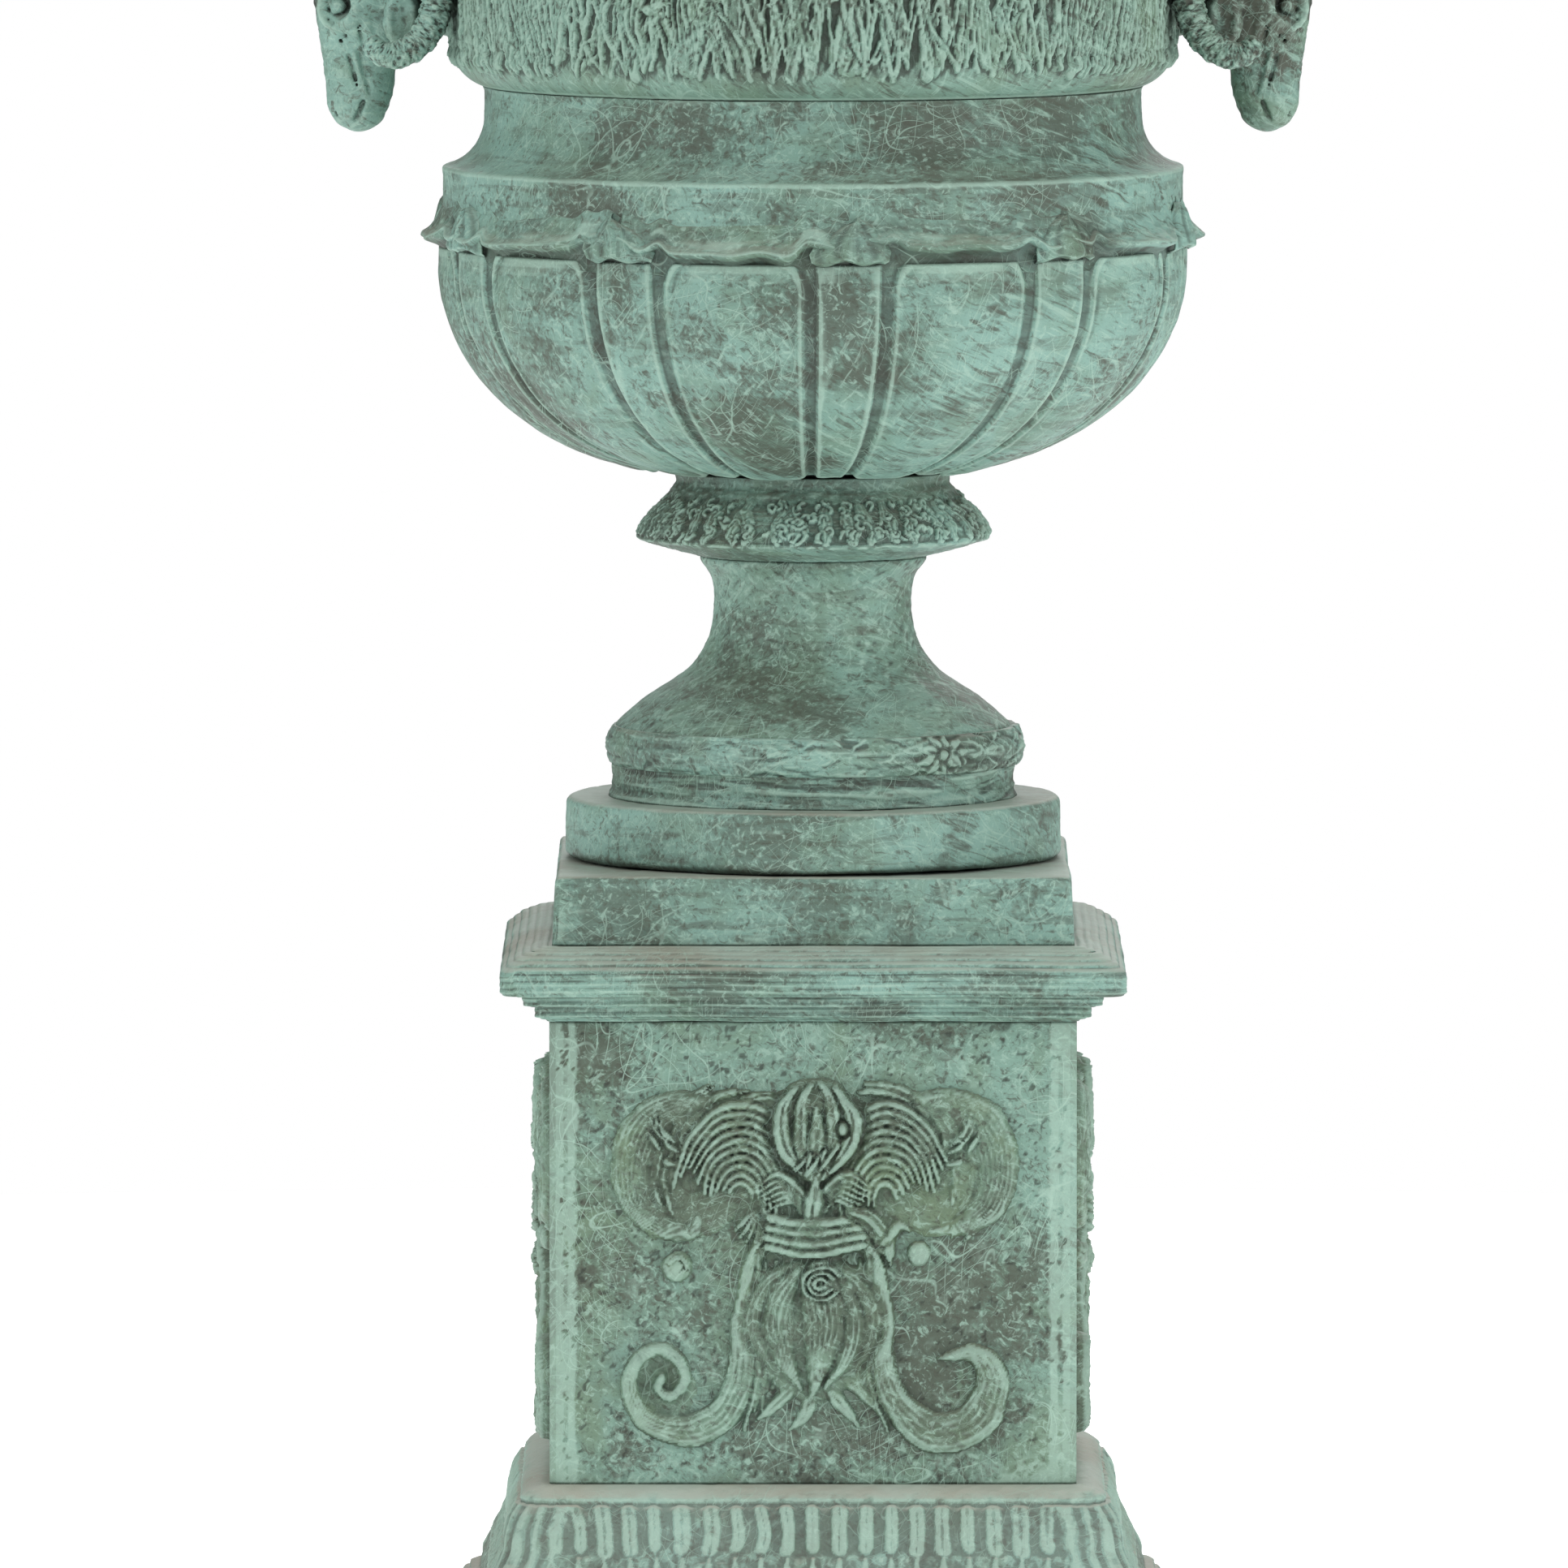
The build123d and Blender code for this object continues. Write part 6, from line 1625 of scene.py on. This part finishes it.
    # Sheaf of arching leaves over the binding
    for sign in (-1, 1):
        for k in range(6):
            stroke([(sign * 3, 322 + 3 * k), (sign * (13 + 2 * k), 336 + 3.5 * k),
                    (sign * (30 + 2 * k), 330 + 3 * k)],
                   (2, 3.2, 2.6, 0.8), 12.5 - 0.4 * k, floor=0.45, gap=0.35)
    stroke([(0, 316), (1, 334), (3, 352)], (4.5, 6.5, 1), 13.5, rib=0.3, floor=0.5)
    # Binding, and the ribbon's pointed end
    for k, height in enumerate((302, 308.5, 315, 321.5)):
        sag = 2.0
        stroke([(-30, height + sag), (-12, height - 1), (12, height - 1), (33, height + sag)],
               (3.2, 3.6, 3.6, 3.2), 13.2, floor=0.55,
               gap=0.3)
    stroke([(24, 327), (38, 322), (47, 308), (52, 291)], (4, 7, 6.5, 0.6), 12.5, strands=2, depth=0.35,
           floor=0.6, gap=0.3)
    stroke([(46, 306), (58, 318), (66, 314)], (3, 4, 0.8), 9, floor=0.5)


def make_reliefs():
    half, proud = reach("shaft_panel_right"), 14.5 * MM
    u = np.arange(-0.143, 0.1435, 1.25 * MM)
    v = np.arange(0.162, 0.424, 1.25 * MM)
    carving = Carving(u, v, 0.0, 0.55)
    draw_relief(carving)
    uu, vv = np.meshgrid(u, v)
    shift_u = 1.5 * MM * fractal(uu * 40 + 20, vv * 40, 192, 0, 2)
    shift_v = 1.5 * MM * fractal(uu * 40 + 70, vv * 40, 193, 0, 2)
    carving.warp(shift_u, shift_v)
    mass = Carving(u, v)
    mass.h = np.minimum(carving.h, 5 * MM)
    mass.blur(14)
    mass.h = 4.2 * MM * smoothstep(1.5 * MM, 3.6 * MM, mass.h)
    carving.h = np.maximum(carving.h, mass.h + 0.25 * (carving.h - mass.h))
    body = carving.h
    folds = 0.9 * MM * fractal(uu * 90 + 30, vv * 90, 194, 0, 3)
    grain = 0.5 * MM * fractal(uu * 260 + 80, vv * 260, 191, 0, 3)
    body = np.where(body > 0.5 * MM, np.clip(body + folds + grain, 0.4 * MM, proud - 0.1 * MM), 0.0)
    raised = (body > 0).ravel()
    quads = grid_quads(*uu.shape)
    quads = quads[raised[quads].any(axis=1)]
    tone = hollows(body, 20 * MM).ravel()
    for k, (side, turn) in enumerate(SIDES.items()):
        out = half - 1.2 * MM + body * (proud + 1.2 * MM) / proud
        front = on_side(turn, uu, out, vv).reshape(-1, 3)
        back = on_side(turn, uu, 0 * uu + half - 1.8 * MM, vv).reshape(-1, 3)
        vertices, faces, tones = sheet_solid(front, back, quads, tone)
        relief = mesh_object(f"relief_{side}_visual", vertices, faces, tones)
        place_piece(relief, relief_bronze, "pedestal", "verdigris_relief", f"relief_{side}")


def make_base_moulding():
    z0, z1, foot = low("base_moulding"), top("base_moulding"), reach("base_moulding")
    waist, head, shoulder = 209 * MM, 178 * MM, z0 + 56 * MM
    swing = np.linspace(0, pi / 2, 30)
    outer = [(foot, z0), (foot, z0 + 5 * MM), (foot - 5 * MM, z0 + 8 * MM),
             (waist + 1 * MM, shoulder - 3 * MM)]
    outer += [(head + (waist - head) * cos(s), shoulder + (z1 - shoulder) * sin(s)) for s in swing]
    outer += [(head - 8 * MM, z1)]
    outer = soften(outer, 1.35 * MM, 0.9 * MM)
    lengths = np.concatenate([[0], np.cumsum(np.hypot(*np.diff(outer, axis=0).T))])
    fillet = np.interp(z1 - 10 * MM, outer[:, 1], lengths)
    arches = np.interp(shoulder - 4 * MM, outer[:, 1], lengths)
    inner = [(118 * MM, z1), (118 * MM, z1 - 10 * MM), (head + 8 * MM, z1 - 10 * MM),
             (waist - 10 * MM, shoulder),
             (foot - 10 * MM, z0 + 8 * MM), (200 * MM, z0 + 8 * MM), (200 * MM, z0)]

    def leaves(along, side, half_side, height, turn):
        s = lengths[:, None]
        pitch = 17.5 * MM
        wobble = 0.16 * lattice_noise(along * 30 + side * 9.3, s * 40, 201)
        phase = along / pitch + 0.5 + wobble
        index = np.floor(phase)
        p = (phase - index - 0.5) * pitch
        varied = lattice_noise(index * 1.37 + side * 11.0, 0 * s + 0.5, 202)
        half_width = (5.9 + 1.4 * varied) * MM
        end = arches + (1.5 - 3 * varied) * MM
        side_in = half_width - np.abs(p)
        end_in = np.minimum(s - end, fillet - s)
        r = 5.5 * MM
        depth_in = r - np.hypot(np.maximum(r - side_in, 0), np.maximum(r - end_in, 0))
        groove = 0.9 * MM * np.exp(-((p / (0.9 * MM)) ** 2)) * (depth_in > 2 * MM)
        tongue = 3.6 * MM * smoothstep(-0.4 * MM, 2.6 * MM, depth_in) - groove
        ledge = 3.4 * MM * smoothstep(fillet - 0.5 * MM, fillet + 2 * MM, s)
        # Interlaced pointed arches under the tongues
        arch = np.zeros(np.broadcast(along, s).shape)
        span = 2 * pitch
        for move in (0.0, 0.5):
            a = ((along / span + move) % 1 - 0.5) * span
            ring = np.hypot(np.abs(a) + 0.25 * span, (s - arches - 1 * MM) * 0.95) - 0.75 * span
            arch = np.maximum(arch, 2.4 * MM * np.exp(-((ring / (1.3 * MM)) ** 2)))
        arch = arch * (1 - smoothstep(arches - 1 * MM, arches + 2 * MM, s)) * smoothstep(11 * MM, 15 * MM, s)
        worms = 1.3 * MM * (1 - np.abs(fractal(along * 95 + side * 6.1, s * 95, 203, 0, 3)))
        worms = worms * smoothstep(11 * MM, 15 * MM, s)
        worms = worms * (1 - smoothstep(arches, arches + 3 * MM, s))
        worn = 0.55 + 0.45 * smoothstep(-0.5, 0.3, lattice_noise(along * 14 + side * 3.3, s * 14, 204))
        flat = worn * np.maximum(tongue, 0) + arch + 0.7 * worms
        # Acanthus round the corners
        strand = np.cos((turn - 0.5) * 26 + (s - fillet) * 40 * np.sign(turn - 0.5))
        leaf = (2.2 + 1.3 * strand) * MM * smoothstep(12 * MM, 20 * MM,
                                                      s) * (1 - smoothstep(fillet - 3 * MM, fillet, s))
        near_corner = np.maximum(smoothstep(half_side - 44 * MM, half_side - 34 * MM, np.abs(along)),
                                 (turn > 0) * 1.0)
        carved = flat * (1 - near_corner) + leaf * near_corner
        below = 2.4 * MM * (1 - smoothstep(9 * MM, 12 * MM, s))
        cast = 0.45 * MM * fractal(along * 130 + side * 4.1, s * 130, 205, 0, 3)
        return -3.2 * MM + np.maximum(np.maximum(carved, ledge), below) + cast

    def corner(h, z):
        return 6 * MM + 26 * MM * smoothstep(0.180, 0.205, h)

    moulding = square_ring("base_moulding_visual", outer, inner, corner, 1.5 * MM, leaves, 4 * MM)
    place_piece(moulding, base_bronze, "pedestal", "verdigris_pedestal", "base_moulding")


def make_base_plinth():
    z0, z1, half = low("base_plinth"), top("base_plinth"), reach("base_plinth")
    outer = soften([(half - 2 * MM, z0), (half, z0 + 2 * MM), (half, z1 - 6 * MM),
                    (half - 3 * MM, z1 - 1 * MM),
                    (half - 8 * MM, z1), (200 * MM, z1)], 2.0 * MM, 1.4 * MM)
    inner = [(200 * MM, z1 - 8 * MM), (half - 8 * MM, z1 - 8 * MM), (half - 8 * MM, z0 + 8 * MM),
             (170 * MM, z0 + 8 * MM),
             (170 * MM, z0)]

    def cast(along, side, half_side, height, turn):
        t = along * 12 + side * 4.3
        return 0.5 * MM * fractal(t, height * 25, 211, 0, 4) - 0.6 * MM * smoothstep(z0 + 1 * MM,
                                                                                     z0 + 4 * MM, height)

    plinth = square_ring("base_plinth_visual", outer, inner, lambda h, z: 5 * MM, 3 * MM, cast)
    place_piece(plinth, base_bronze, "pedestal", "verdigris_pedestal", "base_plinth")


make_disc()
make_foot_band()
make_laurel()
make_stem()
make_collar()
make_bowl()
make_leaf_ring()
make_waist()
make_drum()
make_neck()
make_rim()
make_rams()
make_cap()
make_cornice()
make_panels()
make_reliefs()
make_base_moulding()
make_base_plinth()


# Hidden fasteners, rods and angle irons keep their CAD shapes
def metal(name, base, worn, rough):
    n = Nodes(name)
    cloud = n.noise(60.0, 5.0, 0.6)
    brushed = n.noise(300.0, 3.0, 0.6, 0.0, n.stretch((1, 1, 0.12)))
    colour = n.mix(n.ramp(cloud, 0.42, 0.62), base, worn)
    n.link(colour, n.shader.inputs["Base Color"])
    n.link(n.sum("MULTIPLY_ADD", brushed, 0.3, rough), n.shader.inputs["Roughness"])
    n.shader.inputs["Metallic"].default_value = 1.0
    bump = n.add("ShaderNodeBump")
    bump.inputs["Strength"].default_value = 0.3
    bump.inputs["Distance"].default_value = 0.0004
    n.link(brushed, bump.inputs["Height"])
    n.link(bump.outputs[0], n.shader.inputs["Normal"])
    return n.material


steel = metal("zinc_steel", linear(150, 152, 150), linear(118, 116, 108), 0.32)
angle_bronze = metal("brown_bronze", linear(120, 96, 66), linear(84, 92, 74), 0.45)
for node in frame["record"]["subparts"]:
    name = node["node"]
    obj = bpy.data.objects.get(name)
    if obj is None or obj.type != "MESH":
        continue
    if node["material_slot"] == "steel_fastener":
        dress(obj, steel)
    elif node["material_slot"] == "bronze_angle":
        dress(obj, angle_bronze)

# Floor and light ----------------------------------------------------------------------------------
def make_floor():
    """A round pale floor that glows a little, so that it stays white from every side."""
    radius, glow = 3.4, 0.62
    ring = [(radius * cos(a), radius * sin(a), 0.0) for a in np.linspace(0, tau, 97)[:-1]]
    middle = [(0.02 * x, 0.02 * y, 0.0) for x, y, _ in ring]
    floor = mesh_object("floor", np.array(middle + ring), grid_quads(2, 96, wrap_columns=True))
    n = Nodes("floor_white")
    colour = n.mix(n.noise(3.0), (0.90, 0.90, 0.90, 1), (0.93, 0.93, 0.93, 1))
    n.link(colour, n.shader.inputs["Base Color"])
    n.link(colour, n.shader.inputs["Emission Color"])
    n.shader.inputs["Emission Strength"].default_value = glow
    n.shader.inputs["Roughness"].default_value = 0.9
    dress(floor, n.material)


def area_light(name, place, aim, size, power):
    data = bpy.data.lights.new(name, "AREA")
    data.shape = "RECTANGLE"
    data.size, data.size_y = size
    data.energy = power
    lamp = bpy.data.objects.new(name, data)
    bpy.context.collection.objects.link(lamp)
    lamp.location = place
    lamp.rotation_euler = (Vector(aim) - Vector(place)).to_track_quat("-Z", "Y").to_euler()


def white_room(strength):
    """An even pale room that lights the object softly, seen as plain white behind it from every side."""
    world = bpy.data.worlds.new("white_room")
    world.use_nodes = True
    nodes, links = world.node_tree.nodes, world.node_tree.links
    lighting = nodes["Background"]
    lighting.inputs["Color"].default_value = (1, 1, 1, 1)
    lighting.inputs["Strength"].default_value = strength
    seen = nodes.new("ShaderNodeBackground")
    seen.inputs["Color"].default_value = (1, 1, 1, 1)
    seen.inputs["Strength"].default_value = 1.0
    share = nodes.new("ShaderNodeMixShader")
    links.new(nodes.new("ShaderNodeLightPath").outputs["Is Camera Ray"], share.inputs[0])
    links.new(lighting.outputs[0], share.inputs[1])
    links.new(seen.outputs[0], share.inputs[2])
    links.new(share.outputs[0], nodes["World Output"].inputs["Surface"])
    bpy.context.scene.world = world


make_floor()
area_light("left_softbox", (-3.4, -1.9, 2.3), (0, 0, 0.7), (2.4, 2.8), 53)
area_light("right_softbox", (3.4, -1.9, 1.9), (0, 0, 0.6), (2.4, 2.8), 58)
area_light("back_softbox", (0.6, 4.2, 2.6), (0, 0, 0.7), (3.0, 2.4), 50)
area_light("overhead", (0.0, -0.6, 4.4), (0, 0, 0.7), (2.6, 2.6), 38)
area_light("front_fill", (0.8, -5.2, 2.4), (0, 0, 0.7), (3.0, 3.0), 38)
white_room(0.35)
bpy.context.scene.view_settings.view_transform = "Standard"
